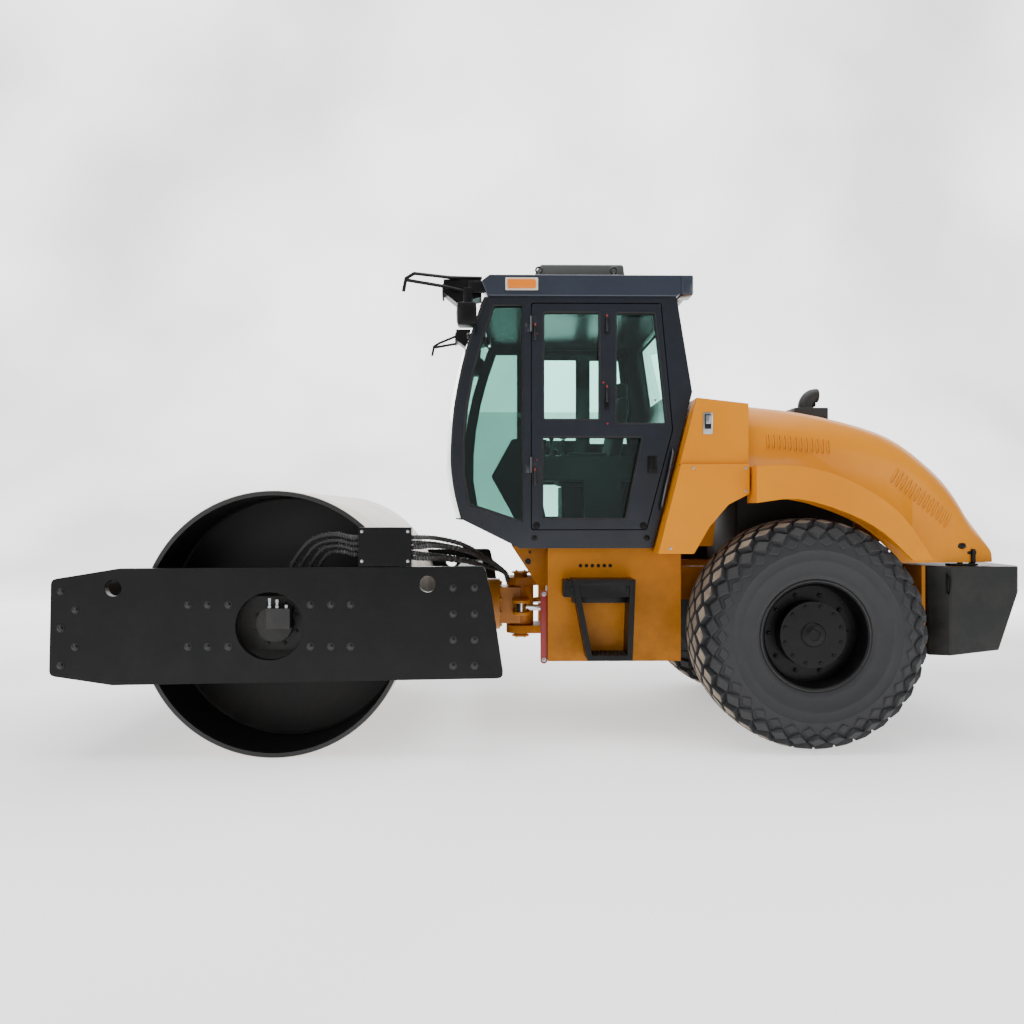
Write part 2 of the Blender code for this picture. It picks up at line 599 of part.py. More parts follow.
def chassis():
    """Deep side rails under the cab, long rails to the tail and the ears of the steering pin."""
    front, belly, rear = PIVOT_X + CHASSIS_FRONT, PIVOT_X + BELLY_FRONT, AXLE_X - BELLY_REAR
    tail = TAIL_X - COUNTERWEIGHT_LENGTH - SEAT_GAP
    body = block("chassis", (belly, -RAIL_OUTER, CHASSIS_BASE_Z), (rear, RAIL_OUTER, DECK_Z), YELLOW)
    deck = block("deck", (front, -RAIL_OUTER, DECK_Z - DECK_THICKNESS), (rear - OVERRUN, RAIL_OUTER, DECK_Z),
                 YELLOW)
    nose = spread(NOSE_OUTLINE_SHARES, PIVOT_X - NOSE_AHEAD, NOSE_LENGTH, NOSE_BASE_Z, DECK_Z - NOSE_BASE_Z)
    joined(body, deck, prism("nose", nose, -NOSE_HALF, NOSE_HALF, YELLOW))
    for side in (-1, 1):
        low, high = y_span(side, RAIL_INNER, RAIL_OUTER)
        joined(body, block("rail", (front, low, CHASSIS_BASE_Z), (belly + OVERRUN, high, DECK_Z), YELLOW))
        low, high = y_span(side, LONG_RAIL_INNER, LONG_RAIL_OUTER)
        joined(body, block("long_rail", (rear - OVERRUN, low, LONG_RAIL_Z[0]),
                           (tail - TAIL_LENGTH / 2, high, LONG_RAIL_Z[1]), YELLOW))
        pad_low = WHEEL_AXIS_Z + AXLE_TUBE_RADIUS * math.cos(math.pi / PIN_SIDES) + SEAT_GAP
        joined(body, block("axle_pad", (AXLE_X - AXLE_PAD_HALF, low, pad_low),
                           (AXLE_X + AXLE_PAD_HALF, high, LONG_RAIL_Z[0] + OVERRUN), YELLOW))
        pin = Vector((PIVOT_X + BARREL_PIN_X, side * BARREL_PIN_Y, JOINT_Z))
        for level in (EYE_HALF_HEIGHT + SEAT_GAP, -EYE_HALF_HEIGHT - SEAT_GAP - ARM_PLATE):
            low_corner = pin + Vector((-BARREL_EYE_RADIUS, -LUG_SIZE[1] / 2, level))
            high_corner = Vector((belly + OVERRUN, pin.y + LUG_SIZE[1] / 2, pin.z + level + ARM_PLATE))
            joined(body, block("cylinder_lug", low_corner, high_corner, YELLOW))
    ear_top = EAR_GAP_HALF + EAR_THICKNESS
    joined(body, block("boom", (PIVOT_X + BOOM_FRONT, -EAR_HALF_WIDTH, JOINT_Z - ear_top),
                       (belly + OVERRUN, EAR_HALF_WIDTH, JOINT_Z + ear_top), YELLOW))
    for level in (EAR_GAP_HALF, -ear_top):
        low, high = JOINT_Z + level, JOINT_Z + level + EAR_THICKNESS
        outline = [(PIVOT_X - EAR_HALF_WIDTH * 0.8, -EAR_HALF_WIDTH), (PIVOT_X + BOOM_FRONT + OVERRUN, -EAR_HALF_WIDTH),
                   (PIVOT_X + BOOM_FRONT + OVERRUN, EAR_HALF_WIDTH), (PIVOT_X - EAR_HALF_WIDTH * 0.8, EAR_HALF_WIDTH)]
        joined(body, prism("ear", rounded(outline, EAR_HALF_WIDTH * 0.6), low, high, YELLOW, "Z"))
    cap = ear_top + OVERRUN / 2
    joined(body, rod("steer_pin", (PIVOT_X, 0, JOINT_Z - cap), (PIVOT_X, 0, JOINT_Z + cap), STEER_PIN_RADIUS,
                     STEEL))
    plan = spread(TAIL_PLAN_SHARES, tail - TAIL_LENGTH, TAIL_LENGTH, 0, TAIL_HALF)
    plan += [(x, -y) for x, y in reversed(plan)]
    joined(body, prism("tail", plan, *TAIL_Z, YELLOW, "Z"))
    return body


LOCK_BAR_X = 0.142
LOCK_BAR_SIZE = (0.022, 0.05)
LOCK_BAR_Z = (0.435, 0.914)
LOCK_BAR_BOSS = 0.018


def lock_bar():
    """The red locking link of the joint, stowed on the front edge of the left rail."""
    front = PIVOT_X + CHASSIS_FRONT - SEAT_GAP
    low, high = -RAIL_OUTER + LOCK_BAR_BOSS, -RAIL_OUTER + LOCK_BAR_BOSS + LOCK_BAR_SIZE[1]
    return block("lock_bar", (front - LOCK_BAR_SIZE[0], low, LOCK_BAR_Z[0]), (front, high, LOCK_BAR_Z[1]), RED)


STEP_FRONT = 0.248
STEP_LENGTH = 0.448
STEP_Z = (0.543, 1.049)
STEP_OUTER = 0.895
STEP_BAR = 0.035
STEP_TOP_HEIGHT = 0.11
STEP_LOOP_SHARES = ((0.33, 0), (0.958, 0), (1, 1), (0.115, 1))


def step(word, side):
    """A tread frame with a box at its top, on the outer face of the rail."""
    inner = RAIL_OUTER + SEAT_GAP
    outline = spread(STEP_LOOP_SHARES, PIVOT_X + STEP_FRONT, STEP_LENGTH, STEP_Z[0], STEP_Z[1] - STEP_Z[0])
    loop = prism("step_" + word, outline, *y_span(side, inner, STEP_OUTER), BLACK, "Y",
                 [inset(outline, STEP_BAR)])
    low, high = y_span(side, inner, STEP_OUTER - STEP_BAR / 4)
    top = block("step_box", (PIVOT_X + STEP_FRONT, low, STEP_Z[1] - STEP_TOP_HEIGHT),
                (PIVOT_X + STEP_FRONT + STEP_LENGTH - STEP_BAR / 4, high, STEP_Z[1] - STEP_BAR / 4), BLACK)
    return joined(loop, top)


# Rear axle and wheels
SPINDLE_RADIUS = 0.075
SPINDLE_END = 0.94
AXLE_TUBE_END = 0.60
BULB_RADIUS = 0.21
BULB_HALF = 0.17


def rear_axle():
    half = [(0, SPINDLE_END), (SPINDLE_RADIUS, SPINDLE_END), (SPINDLE_RADIUS, AXLE_TUBE_END),
            (AXLE_TUBE_RADIUS, AXLE_TUBE_END), (AXLE_TUBE_RADIUS, BULB_HALF * 1.4), (BULB_RADIUS, BULB_HALF * 0.6)]
    profile = half + [(radius, -along) for radius, along in reversed(half)]
    return turned("rear_axle", profile, YELLOW, (AXLE_X, 0, WHEEL_AXIS_Z), PIN_SIDES, closed=False)


BEAD_RADIUS = 0.335
FLANGE_LIP = 0.012
RIM_HALF = 0.21
RIM_WELL_RADIUS = 0.30
RIM_WALL = 0.014
DISC_OFFSET = 0.07
DISC_THICKNESS = 0.02
HUB_RADIUS = 0.205
HUB_FACE = 0.185
HUB_CAP_RADIUS = 0.06
HUB_INNER = -0.16
TYRE_HALF_SHARES = ((0.80, 0), (0.80, 0.045), (1, 0.36), (0.97, 0.64), (0.86, 0.88), (0.72, 0.965),
                    (0.36, 1))


# Tread: tapered diamond lugs in rows, as (share of the half width, stagger, share of a lug's height below
# the middle row's tips, lean)
LUG_COUNT = 20
LUG_HEIGHT = 0.028
LUG_ROOT = 0.012
LUG_HALF = (0.085, 0.066)
LUG_TAPER = 0.82
LUG_ROWS = ((0, 0, 0, 0), (0.63, 0.5, 0.46, 0.16), (-0.63, 0.5, 0.46, -0.16))


def tread(place):
    """All the lugs of one tyre, the middle row's lowest lug flat on the ground."""
    model = bmesh.new()
    across = Vector((0, 1, 0))
    for share, stagger, drop, lean in LUG_ROWS:
        for index in range(LUG_COUNT):
            turn = 2 * math.pi * (index + stagger) / LUG_COUNT
            out = Vector((math.sin(turn), 0, -math.cos(turn)))
            ahead = across.cross(out)
            up = out * math.cos(lean) + across * math.sin(lean)
            wide = across * math.cos(lean) - out * math.sin(lean)
            tip = Vector(place) + out * (WHEEL_AXIS_Z - drop * LUG_HEIGHT) + across * share * TYRE_WIDTH / 2
            rings = []
            for depth, size in ((0, LUG_TAPER), (LUG_HEIGHT + LUG_ROOT, 1)):
                corners = (ahead * LUG_HALF[0], wide * LUG_HALF[1], -ahead * LUG_HALF[0], -wide * LUG_HALF[1])
                rings.append([model.verts.new(tip - up * depth + corner * size) for corner in corners])
            top, foot = rings
            model.faces.new(top)
            model.faces.new(foot[::-1])
            for a, b, c, d in zip(foot, foot[1:] + foot[:1], top[1:] + top[:1], top):
                model.faces.new((a, b, c, d))
    bmesh.ops.recalc_face_normals(model, faces=model.faces)
    mesh = bpy.data.meshes.new("tread")
    model.to_mesh(mesh)
    model.free()
    return placed("tread", mesh, RUBBER)


def tyre(word, side, spin):
    """The tyre: a turned carcass with its rows of lugs."""
    half = spread(TYRE_HALF_SHARES, 0, TYRE_WIDTH / 2, BEAD_RADIUS, TYRE_RADIUS - LUG_HEIGHT - BEAD_RADIUS)
    outer = [(radius, along) for along, radius in half]
    profile = [(radius, -along) for radius, along in outer] + outer[::-1]
    place = (AXLE_X, side * WHEEL_TRACK / 2, WHEEL_AXIS_Z)
    carcass = turned("tyre_" + word, profile, RUBBER, place, TYRE_SIDES)
    return carried(joined(carcass, tread(place)), spin)


def wheel(word, side, spin):
    """The rim with its dished disc and the planetary hub, bored for the axle's spindle."""
    seat = BEAD_RADIUS - SEAT_GAP
    lip = BEAD_RADIUS + FLANGE_LIP
    bead = TYRE_WIDTH / 2 * TYRE_HALF_SHARES[0][0]
    well = RIM_WELL_RADIUS
    bore = SPINDLE_RADIUS + PIN_GAP
    disc = DISC_OFFSET
    bore_end = SPINDLE_END - WHEEL_TRACK / 2 + PIN_GAP
    outline = [(seat, bead + SEAT_GAP), (lip, bead + SEAT_GAP), (lip, bead + RIM_WALL),
               (seat - RIM_WALL, bead + RIM_WALL), (well, bead - 2 * RIM_WALL), (well, disc + DISC_THICKNESS),
               (HUB_RADIUS, disc + DISC_THICKNESS), (HUB_RADIUS, HUB_FACE), (0, HUB_FACE), (0, bore_end),
               (bore, bore_end), (bore, HUB_INNER), (HUB_RADIUS, HUB_INNER), (HUB_RADIUS, disc), (well, disc),
               (seat - RIM_WALL, -bead - RIM_WALL), (lip, -bead - RIM_WALL), (lip, -bead - SEAT_GAP),
               (seat, -bead - SEAT_GAP)]
    start = outline.index((0, HUB_FACE)) + 1
    profile = [(radius, side * along) for radius, along in outline[start:] + outline[:start]]
    place = (AXLE_X, side * WHEEL_TRACK / 2, WHEEL_AXIS_Z)
    rim = turned("wheel_" + word, profile, BLACK, place, TYRE_SIDES, closed=False)
    return carried(rim, spin)


# Counterweight and hitch
COUNTERWEIGHT_HALF = 0.90
COUNTERWEIGHT_Z = (0.56, 1.13)
COUNTERWEIGHT_SIDE_SHARES = ((0.02, 0), (0.70, 0.08), (1, 1), (0, 1))
COUNTERWEIGHT_PLAN_SHARES = ((0, 0.89), (0.18, 1), (0.90, 1), (1, 0.90))
HITCH_HALF = 0.09
HITCH_REACH = 0.10
HITCH_PLATE = 0.025
HITCH_Z = (0.72, 0.82)


def counterweight():
    """The faceted rear weight, with the two plates of the towing jaw."""
    front = TAIL_X - COUNTERWEIGHT_LENGTH
    height = COUNTERWEIGHT_Z[1] - COUNTERWEIGHT_Z[0]
    outline = spread(COUNTERWEIGHT_SIDE_SHARES, front, COUNTERWEIGHT_LENGTH, COUNTERWEIGHT_Z[0], height)
    plan = spread(COUNTERWEIGHT_PLAN_SHARES, front, COUNTERWEIGHT_LENGTH, 0, COUNTERWEIGHT_HALF)
    plan += [(x, -y) for x, y in reversed(plan)]
    weight = prism("counterweight", outline, -COUNTERWEIGHT_HALF, COUNTERWEIGHT_HALF, CASTING)
    envelope = prism("weight_plan", plan, COUNTERWEIGHT_Z[0] - OVERRUN, COUNTERWEIGHT_Z[1] + OVERRUN, CASTING,
                     "Z")
    shaped(weight, envelope, "INTERSECT")
    for level in HITCH_Z:
        share = (level - COUNTERWEIGHT_Z[0]) / height
        root = front + COUNTERWEIGHT_LENGTH * (0.70 + 0.30 * share) - HITCH_REACH
        joined(weight, block("hitch_plate", (root, -HITCH_HALF, level),
                             (TAIL_X - SEAT_GAP, HITCH_HALF, level + HITCH_PLATE), CASTING))
    return weight


# Engine, housings behind the cab
ENGINE_X = (-0.30, 0.52)
ENGINE_HALF = 0.40
ENGINE_HEIGHT = 0.72
HOOD_AHEAD_OF_AXLE = 0.361
HOOD_X = AXLE_X - HOOD_AHEAD_OF_AXLE
CAB_KNEE_SHARE = 0.624
CAB_FOOT_SHARE = 0.834
HOUSING_GAP = 0.014
HOUSING_HALF = 0.92
HOUSING_CORE_HALF = 0.50
HOUSING_WALL = 0.02
SEAM_Z = 1.765
HOUSING_TOP_Z = (2.179, 2.143)
PANEL_OUTER = 0.95
PANEL_BASE_Z = 1.212
PANEL_FOOT_LENGTH = 0.223
ARCH_SHARES = ((0.0, 0.0), (0.28, 0.45), (0.62, 0.82), (1.0, 1.0))
ARCH_RISE = 0.37


def cab_rear_x(level):
    """X of the cab's rear face, which leans back from its foot to its knee."""
    share = (level - CAB_BASE_Z) / (CAB_KNEE_SHARE * CAB_HEIGHT)
    return CAB_X + CAB_LENGTH * (CAB_FOOT_SHARE + (1 - CAB_FOOT_SHARE) * share)


def engine_block():
    base = LONG_RAIL_Z[1] + SEAT_GAP
    return block("engine_block", (AXLE_X + ENGINE_X[0], -ENGINE_HALF, base),
                 (AXLE_X + ENGINE_X[1], ENGINE_HALF, base + ENGINE_HEIGHT), CASTING, HOUSING_WALL)


def upper_housing():
    """The full-width housing behind the cab, on a narrower foot that stands on the deck."""
    rear = HOOD_X - HOUSING_GAP
    outline = [(cab_rear_x(SEAM_Z) + HOUSING_GAP, SEAM_Z + SEAT_GAP), (rear, SEAM_Z + SEAT_GAP),
               (rear, HOUSING_TOP_Z[1]), (cab_rear_x(HOUSING_TOP_Z[0]) + HOUSING_GAP, HOUSING_TOP_Z[0])]
    housing = prism("upper_housing", outline, -HOUSING_HALF, HOUSING_HALF, YELLOW)
    foot = [(cab_rear_x(CAB_BASE_Z) + HOUSING_GAP, CAB_BASE_Z), (rear - PANEL_FOOT_LENGTH / 2, CAB_BASE_Z),
            (rear - OVERRUN, SEAM_Z + OVERRUN), (cab_rear_x(SEAM_Z + OVERRUN) + HOUSING_GAP, SEAM_Z + OVERRUN)]
    joined(housing, prism("housing_foot", foot, -HOUSING_CORE_HALF, HOUSING_CORE_HALF, YELLOW))
    hollow = [(cab_rear_x(SEAM_Z) + HOUSING_GAP + HOUSING_WALL, SEAM_Z + HOUSING_WALL),
              (rear + OVERRUN, SEAM_Z + HOUSING_WALL), (rear + OVERRUN, HOUSING_TOP_Z[1] - 2 * HOUSING_WALL),
              (cab_rear_x(HOUSING_TOP_Z[1]) + HOUSING_GAP + HOUSING_WALL, HOUSING_TOP_Z[1] - HOUSING_WALL)]
    return cut(housing, prism("housing_hollow", hollow, HOUSING_WALL - HOUSING_HALF,
                              HOUSING_HALF - HOUSING_WALL, YELLOW))


def lower_panel(word, side):
    """The cover ahead of the wheel: a pan open to the inside, cut round by the wheel arch."""
    rear = HOOD_X - HOUSING_GAP
    front = cab_rear_x(PANEL_BASE_Z) + HOUSING_GAP
    arch = spread(ARCH_SHARES, front + PANEL_FOOT_LENGTH, rear - front - PANEL_FOOT_LENGTH, PANEL_BASE_Z, ARCH_RISE)
    outline = [(front, PANEL_BASE_Z)] + arch + [(rear, SEAM_Z), (cab_rear_x(SEAM_Z) + HOUSING_GAP, SEAM_Z)]
    low, high = y_span(side, RAIL_OUTER + SEAT_GAP, PANEL_OUTER)
    panel = prism("lower_panel_" + word, outline, low, high, YELLOW)
    low, high = y_span(side, RAIL_OUTER - OVERRUN, PANEL_OUTER - HOUSING_WALL)
    return cut(panel, prism("panel_hollow", inset(outline, HOUSING_WALL), low, high, YELLOW))


# Engine hood
HOOD_LENGTH = 1.597
HOOD_BASE_Z = 1.15
HOOD_HEIGHT = 1.021
HOOD_HALF = 0.86
HOOD_THICKNESS = 0.014
HOOD_SHOULDER = 0.26
HOOD_TAPER_SHARE = 0.10
HOOD_PROFILE_SHARES = ((0, 1), (0.2436, 0.956), (0.4884, 0.868), (0.652, 0.76), (0.815, 0.556), (0.918, 0.34),
                       (1, 0.105))
HINGE_LIFT = 0.014
FENDER_OUTER = 1.04
FENDER_SKIN = 0.02
FENDER_LENGTH = 1.10
FENDER_BASE_Z = 1.16
FENDER_HEIGHT = 0.589
FENDER_TOP_SHARES = ((0, 1), (0.235, 1), (0.51, 0.857), (0.787, 0.528), (0.98, 0.03))
FENDER_EDGE_SHARES = ((0.865, 0.03), (0.70, 0.315), (0.51, 0.51), (0.235, 0.66), (0, 0.62))
GRILLE_HALF = 0.42
GRILLE_SHARES = (0.60, 0.93)
SLAT_COUNT = 7
SLAT_SHARE = 0.45


def hood_sections():
    """Rows of points across the hood, one for each station along it."""
    line = smooth(HOOD_PROFILE_SHARES, 3)
    rows = []
    for across, up in line:
        top = HOOD_BASE_Z + up * HOOD_HEIGHT
        narrowing = max(0.0, (across - 0.55) / 0.45)
        half = HOOD_HALF * (1 - HOOD_TAPER_SHARE * narrowing ** 2)
        shoulder = min(HOOD_SHOULDER, (top - HOOD_BASE_Z) * 0.8)
        side = [(half, HOOD_BASE_Z), (half, (HOOD_BASE_Z + top - shoulder) / 2)]
        for step in range(6):
            turn = math.pi / 2 * step / 5
            side.append((half - shoulder * (1 - math.cos(turn)), top - shoulder * (1 - math.sin(turn))))
        side.append(((half - shoulder) / 2, top))
        ring = [(-y, z) for y, z in side] + [(0, top)] + side[::-1]
        rows.append([(HOOD_X + across * HOOD_LENGTH, y, z) for y, z in ring])
    return rows


def hood_shell(name):
    """The hood's skin, lofted from its sections and thickened inwards."""
    model = bmesh.new()
    grid = [[model.verts.new(place) for place in row] for row in hood_sections()]
    for row, following in zip(grid, grid[1:]):
        for a, b, c, d in zip(row, row[1:], following[1:], following):
            model.faces.new((a, d, c, b))
    mesh = bpy.data.meshes.new(name)
    model.to_mesh(mesh)
    model.free()
    shell = placed(name, mesh, YELLOW)
    skin = shell.modifiers.new("skin", "SOLIDIFY")
    skin.thickness = HOOD_THICKNESS
    skin.offset = -1
    return shell


def fender_band(name, side, inner, outer, skin=0.0):
    """The wheel arch between its crease and its edge; with a skin, the space below and inside it."""
    size = (HOOD_X, FENDER_LENGTH, FENDER_BASE_Z, FENDER_HEIGHT)
    top = spread(smooth(FENDER_TOP_SHARES, 3), *size)
    edge = spread(smooth(FENDER_EDGE_SHARES, 3), *size)
    if skin > 0:
        top = [(max(x - skin, HOOD_X + skin), z - skin) for x, z in top]
        edge = [(max(x - skin, HOOD_X + skin), z - OVERRUN) for x, z in edge]
    outline = [point for index, point in enumerate(top + edge) if index == 0 or point != (top + edge)[index - 1]]
    return prism(name, outline, *y_span(side, inner, outer), YELLOW)


def wheel_well(side):
    """The space under the wheel arch's edge, cut out of the hood's side."""
    low = HOOD_BASE_Z - OVERRUN
    edge = spread(smooth(FENDER_EDGE_SHARES, 3), HOOD_X, FENDER_LENGTH, FENDER_BASE_Z, FENDER_HEIGHT)
    outline = [(edge[0][0], low)] + edge + [(HOOD_X - OVERRUN, edge[-1][1]), (HOOD_X - OVERRUN, low)]
    return prism("wheel_well", outline, *y_span(side, HOOD_HALF - OVERRUN, HOOD_HALF + OVERRUN), YELLOW)


def grille_cutter(name, margin):
    low = (HOOD_X + GRILLE_SHARES[0] * HOOD_LENGTH + margin, margin - GRILLE_HALF, HOOD_BASE_Z + OVERRUN)
    high = (HOOD_X + GRILLE_SHARES[1] * HOOD_LENGTH - margin, GRILLE_HALF - margin, HOOD_BASE_Z + HOOD_HEIGHT)
    return block(name, low, high, YELLOW)


def hood(hinge):
    """The lifting hood with its wheel arches in one piece, open at the front and below."""
    shell = hood_shell("hood")
    for word, side in SIDES:
        cut(shell, wheel_well(side))
        inner = HOOD_HALF - HOOD_THICKNESS / 2
        band = fender_band("fender_band", side, inner, FENDER_OUTER)
        cut(band, fender_band("fender_hollow", side, HOOD_HALF, FENDER_OUTER - FENDER_SKIN, FENDER_SKIN))
        joined(shell, band)
    cut(shell, grille_cutter("grille_opening", 0))
    return carried(shell, hinge)


def rear_grille(hinge):
    """The slatted radiator grille, a piece of the hood's own surface."""
    grille = hood_shell("rear_grille")
    shaped(grille, grille_cutter("grille_shape", SEAT_GAP), "INTERSECT")
    pitch = 2 * GRILLE_HALF / SLAT_COUNT
    for index in range(SLAT_COUNT):
        middle = (index + 0.5) * pitch - GRILLE_HALF
        low = HOOD_X + (GRILLE_SHARES[0] + 0.03) * HOOD_LENGTH
        high = HOOD_X + (GRILLE_SHARES[1] - 0.03) * HOOD_LENGTH
        cut(grille, block("slot", (low, middle - pitch * SLAT_SHARE / 2, HOOD_BASE_Z),
                          (high, middle + pitch * SLAT_SHARE / 2, HOOD_BASE_Z + HOOD_HEIGHT), BLACK))
    grille.data.materials[0] = BLACK
    return carried(grille, hinge)


EXHAUST_SHARE = 0.40
EXHAUST_Y = -0.15
EXHAUST_BASE = (0.21, 0.20)
EXHAUST_RISE = 0.045
EXHAUST_RADIUS = 0.036
EXHAUST_PIPE_HEIGHT = 0.09
EXHAUST_BEND = 0.075


def hood_top(x):
    """Height of the hood's middle line at x, between its sections."""
    line = [(row[0][0], max(z for _, _, z in row)) for row in hood_sections()]
    for (x0, z0), (x1, z1) in zip(line, line[1:]):
        if x0 <= x <= x1:
            return z0 + (z1 - z0) * (x - x0) / (x1 - x0)
    return line[-1][1]


def hood_line(front, rear):
    """Points just above the hood's middle line from front to rear, one at each of its sections."""
    stations = [front] + [row[0][0] for row in hood_sections() if front < row[0][0] < rear] + [rear]
    return [(x, hood_top(x) + SEAT_GAP) for x in stations]


def exhaust(hinge):
    """The tail pipe's elbow on a flat box that follows the hood's slope."""
    middle = HOOD_X + EXHAUST_SHARE * HOOD_LENGTH
    front, rear = middle - EXHAUST_BASE[0] / 2, middle + EXHAUST_BASE[0] / 2
    top = hood_top(front) + EXHAUST_RISE
    outline = hood_line(front, rear) + [(rear, top), (front, top)]
    low, high = EXHAUST_Y - EXHAUST_BASE[1] / 2, EXHAUST_Y + EXHAUST_BASE[1] / 2
    base = prism("exhaust", outline, low, high, BLACK)
    pipe = [(middle, EXHAUST_Y, top - EXHAUST_RISE / 3), (middle, EXHAUST_Y, top + EXHAUST_PIPE_HEIGHT / 2)]
    for step in range(1, 7):
        turn = math.radians(12 * step)
        pipe.append((middle + EXHAUST_BEND * (1 - math.cos(turn)), EXHAUST_Y,
                     top + EXHAUST_PIPE_HEIGHT / 2 + EXHAUST_BEND * math.sin(turn)))
    return carried(joined(base, tube("exhaust_pipe", pipe, EXHAUST_RADIUS, BLACK, 3)), hinge)


HINGE_Y = 0.45
HINGE_HALF = 0.045
HINGE_RADIUS = 0.012
HINGE_Z = HOOD_BASE_Z + HOOD_HEIGHT + HINGE_LIFT


def hood_hinge(housing, shell):
    """Knuckles on the housing's rear edge and on the hood's front edge, side by side on one axis."""
    for side in (-1, 1):
        for owner, span, reach in ((housing, (-HINGE_HALF, -SEAT_GAP), -1), (shell, (SEAT_GAP, HINGE_HALF), 1)):
            low, high = (side * HINGE_Y + offset for offset in span)
            knuckle = rod("hinge_knuckle", (HOOD_X, low, HINGE_Z), (HOOD_X, high, HINGE_Z), HINGE_RADIUS, BLACK, 10)
            leaf_x = sorted((HOOD_X + reach * RUNNING_GAP / 2, HOOD_X + reach * HINGE_HALF * 1.5))
            leaf = block("hinge_leaf", (leaf_x[0], low, HINGE_Z - HINGE_RADIUS * (4 if reach < 0 else 2)),
                         (leaf_x[1], high, HINGE_Z - HINGE_RADIUS / 2), BLACK)
            joined(owner, leaf, knuckle)


# Cab: floor tray, two side frames, rear wall, roof, curved windscreen
CAB_WALL = 0.06
FLOOR_THICKNESS = 0.05
PILLAR_MIDDLE_SHARE = 0.352
PILLAR_LOW_SHARE = 0.113
PILLAR_LEAN = 0.214
PILLAR_TUCK = 0.069
PILLAR_WIDTH = 0.07
CAB_REAR_TOP_SHARE = 0.935
CAB_FOOT_FRONT_SHARE = 0.282
DOOR_SHARES = ((0.3275, 0.072), (0.8107, 0.072), (0.920, 0.4715), (0.871, 0.978), (0.3275, 0.978))
DOOR_CORNER = 0.02
DOOR_THICKNESS = 0.045
DOOR_WINDOW_SHARES = (
    ((0.379, 0.512), (0.614, 0.512), (0.614, 0.941), (0.379, 0.941)),
    ((0.681, 0.496), (0.894, 0.496), (0.844, 0.939), (0.681, 0.939)),
    ((0.375, 0.117), (0.7234, 0.117), (0.7935, 0.444), (0.375, 0.444)))
WINDOW_CORNER = 0.015
PANE = 0.006
QUARTER_REAR_SHARE = 0.292
QUARTER_SHARES = (0.105, 0.175, 0.968)
REAR_WALL = 0.04
REAR_WINDOW_SHARES = (0.66, 0.955)
REAR_WINDOW_HALF = 0.56
WINDSCREEN_BULGE = 0.075
PILLAR_SPANS = 8


def cab_points(shares):
    return spread(shares, CAB_X, CAB_LENGTH, CAB_BASE_Z, CAB_HEIGHT)


def pillar_x(share):
    """X of the front pillar's leading edge at a share of the cab's height."""
    if share > PILLAR_MIDDLE_SHARE:
        return CAB_X + PILLAR_LEAN * ((share - PILLAR_MIDDLE_SHARE) / (1 - PILLAR_MIDDLE_SHARE)) ** 2
    return CAB_X + PILLAR_TUCK * ((PILLAR_MIDDLE_SHARE - share) / (PILLAR_MIDDLE_SHARE - PILLAR_LOW_SHARE)) ** 2


def pillar_points(low_share, high_share, count, shift):
    """Points up the pillar's curve, moved back by shift."""
    points = []
    for index in range(count + 1):
        share = low_share + (high_share - low_share) * index / count
        points.append((pillar_x(share) + shift, CAB_BASE_Z + share * CAB_HEIGHT))
    return points


def quarter_outline():
    front = pillar_points(QUARTER_SHARES[1], QUARTER_SHARES[2], 6, PILLAR_WIDTH)
    rear = CAB_X + QUARTER_REAR_SHARE * CAB_LENGTH
    low = CAB_BASE_Z + QUARTER_SHARES[0] * CAB_HEIGHT
    return [(rear, front[-1][1]), (rear, low)] + front


DOOR_HINGE_LIFT = 0.012
DOOR_HINGE_RADIUS = 0.011
DOOR_HINGE_SHARES = (0.30, 0.86)
DOOR_HINGE_HEIGHT = 0.05
DOOR_HINGE_LEAF = 0.035
DOOR_FRONT_X = CAB_X + DOOR_SHARES[0][0] * CAB_LENGTH
RAIL_SHARES = ((0.915, 0.392), (0.868, 0.153))
RAIL_RADIUS = 0.011
RAIL_STAND_OFF = 0.045


def hinge_knuckle(owner, side, share, offset, reach):
    """One half of a door hinge: a knuckle on the axis and its leaf on the outer face."""
    low = CAB_BASE_Z + share * CAB_HEIGHT + offset
    high = low + DOOR_HINGE_HEIGHT - 2 * SEAT_GAP
    axis_y = side * (CAB_HALF + DOOR_HINGE_LIFT)
    knuckle = rod("door_knuckle", (DOOR_FRONT_X, axis_y, low), (DOOR_FRONT_X, axis_y, high), DOOR_HINGE_RADIUS,
                  BLACK, 10)
    xs = sorted((DOOR_FRONT_X, DOOR_FRONT_X + reach * DOOR_HINGE_LEAF))
    ys = y_span(side, CAB_HALF - DOOR_HINGE_RADIUS / 2, CAB_HALF + DOOR_HINGE_LIFT)
    if reach > 0:
        xs[0] = DOOR_FRONT_X + RUNNING_GAP / 2
        bridge = y_span(side, CAB_HALF + RUNNING_GAP / 2, CAB_HALF + DOOR_HINGE_LIFT)
        joined(owner, block("knuckle_bridge", (DOOR_FRONT_X, bridge[0], low), (xs[0] + RUNNING_GAP, bridge[1], high),
                            BLACK))
        xs[0] += RUNNING_GAP
    joined(owner, block("hinge_leaf", (xs[0], ys[0], low), (xs[1], ys[1], high), BLACK), knuckle)


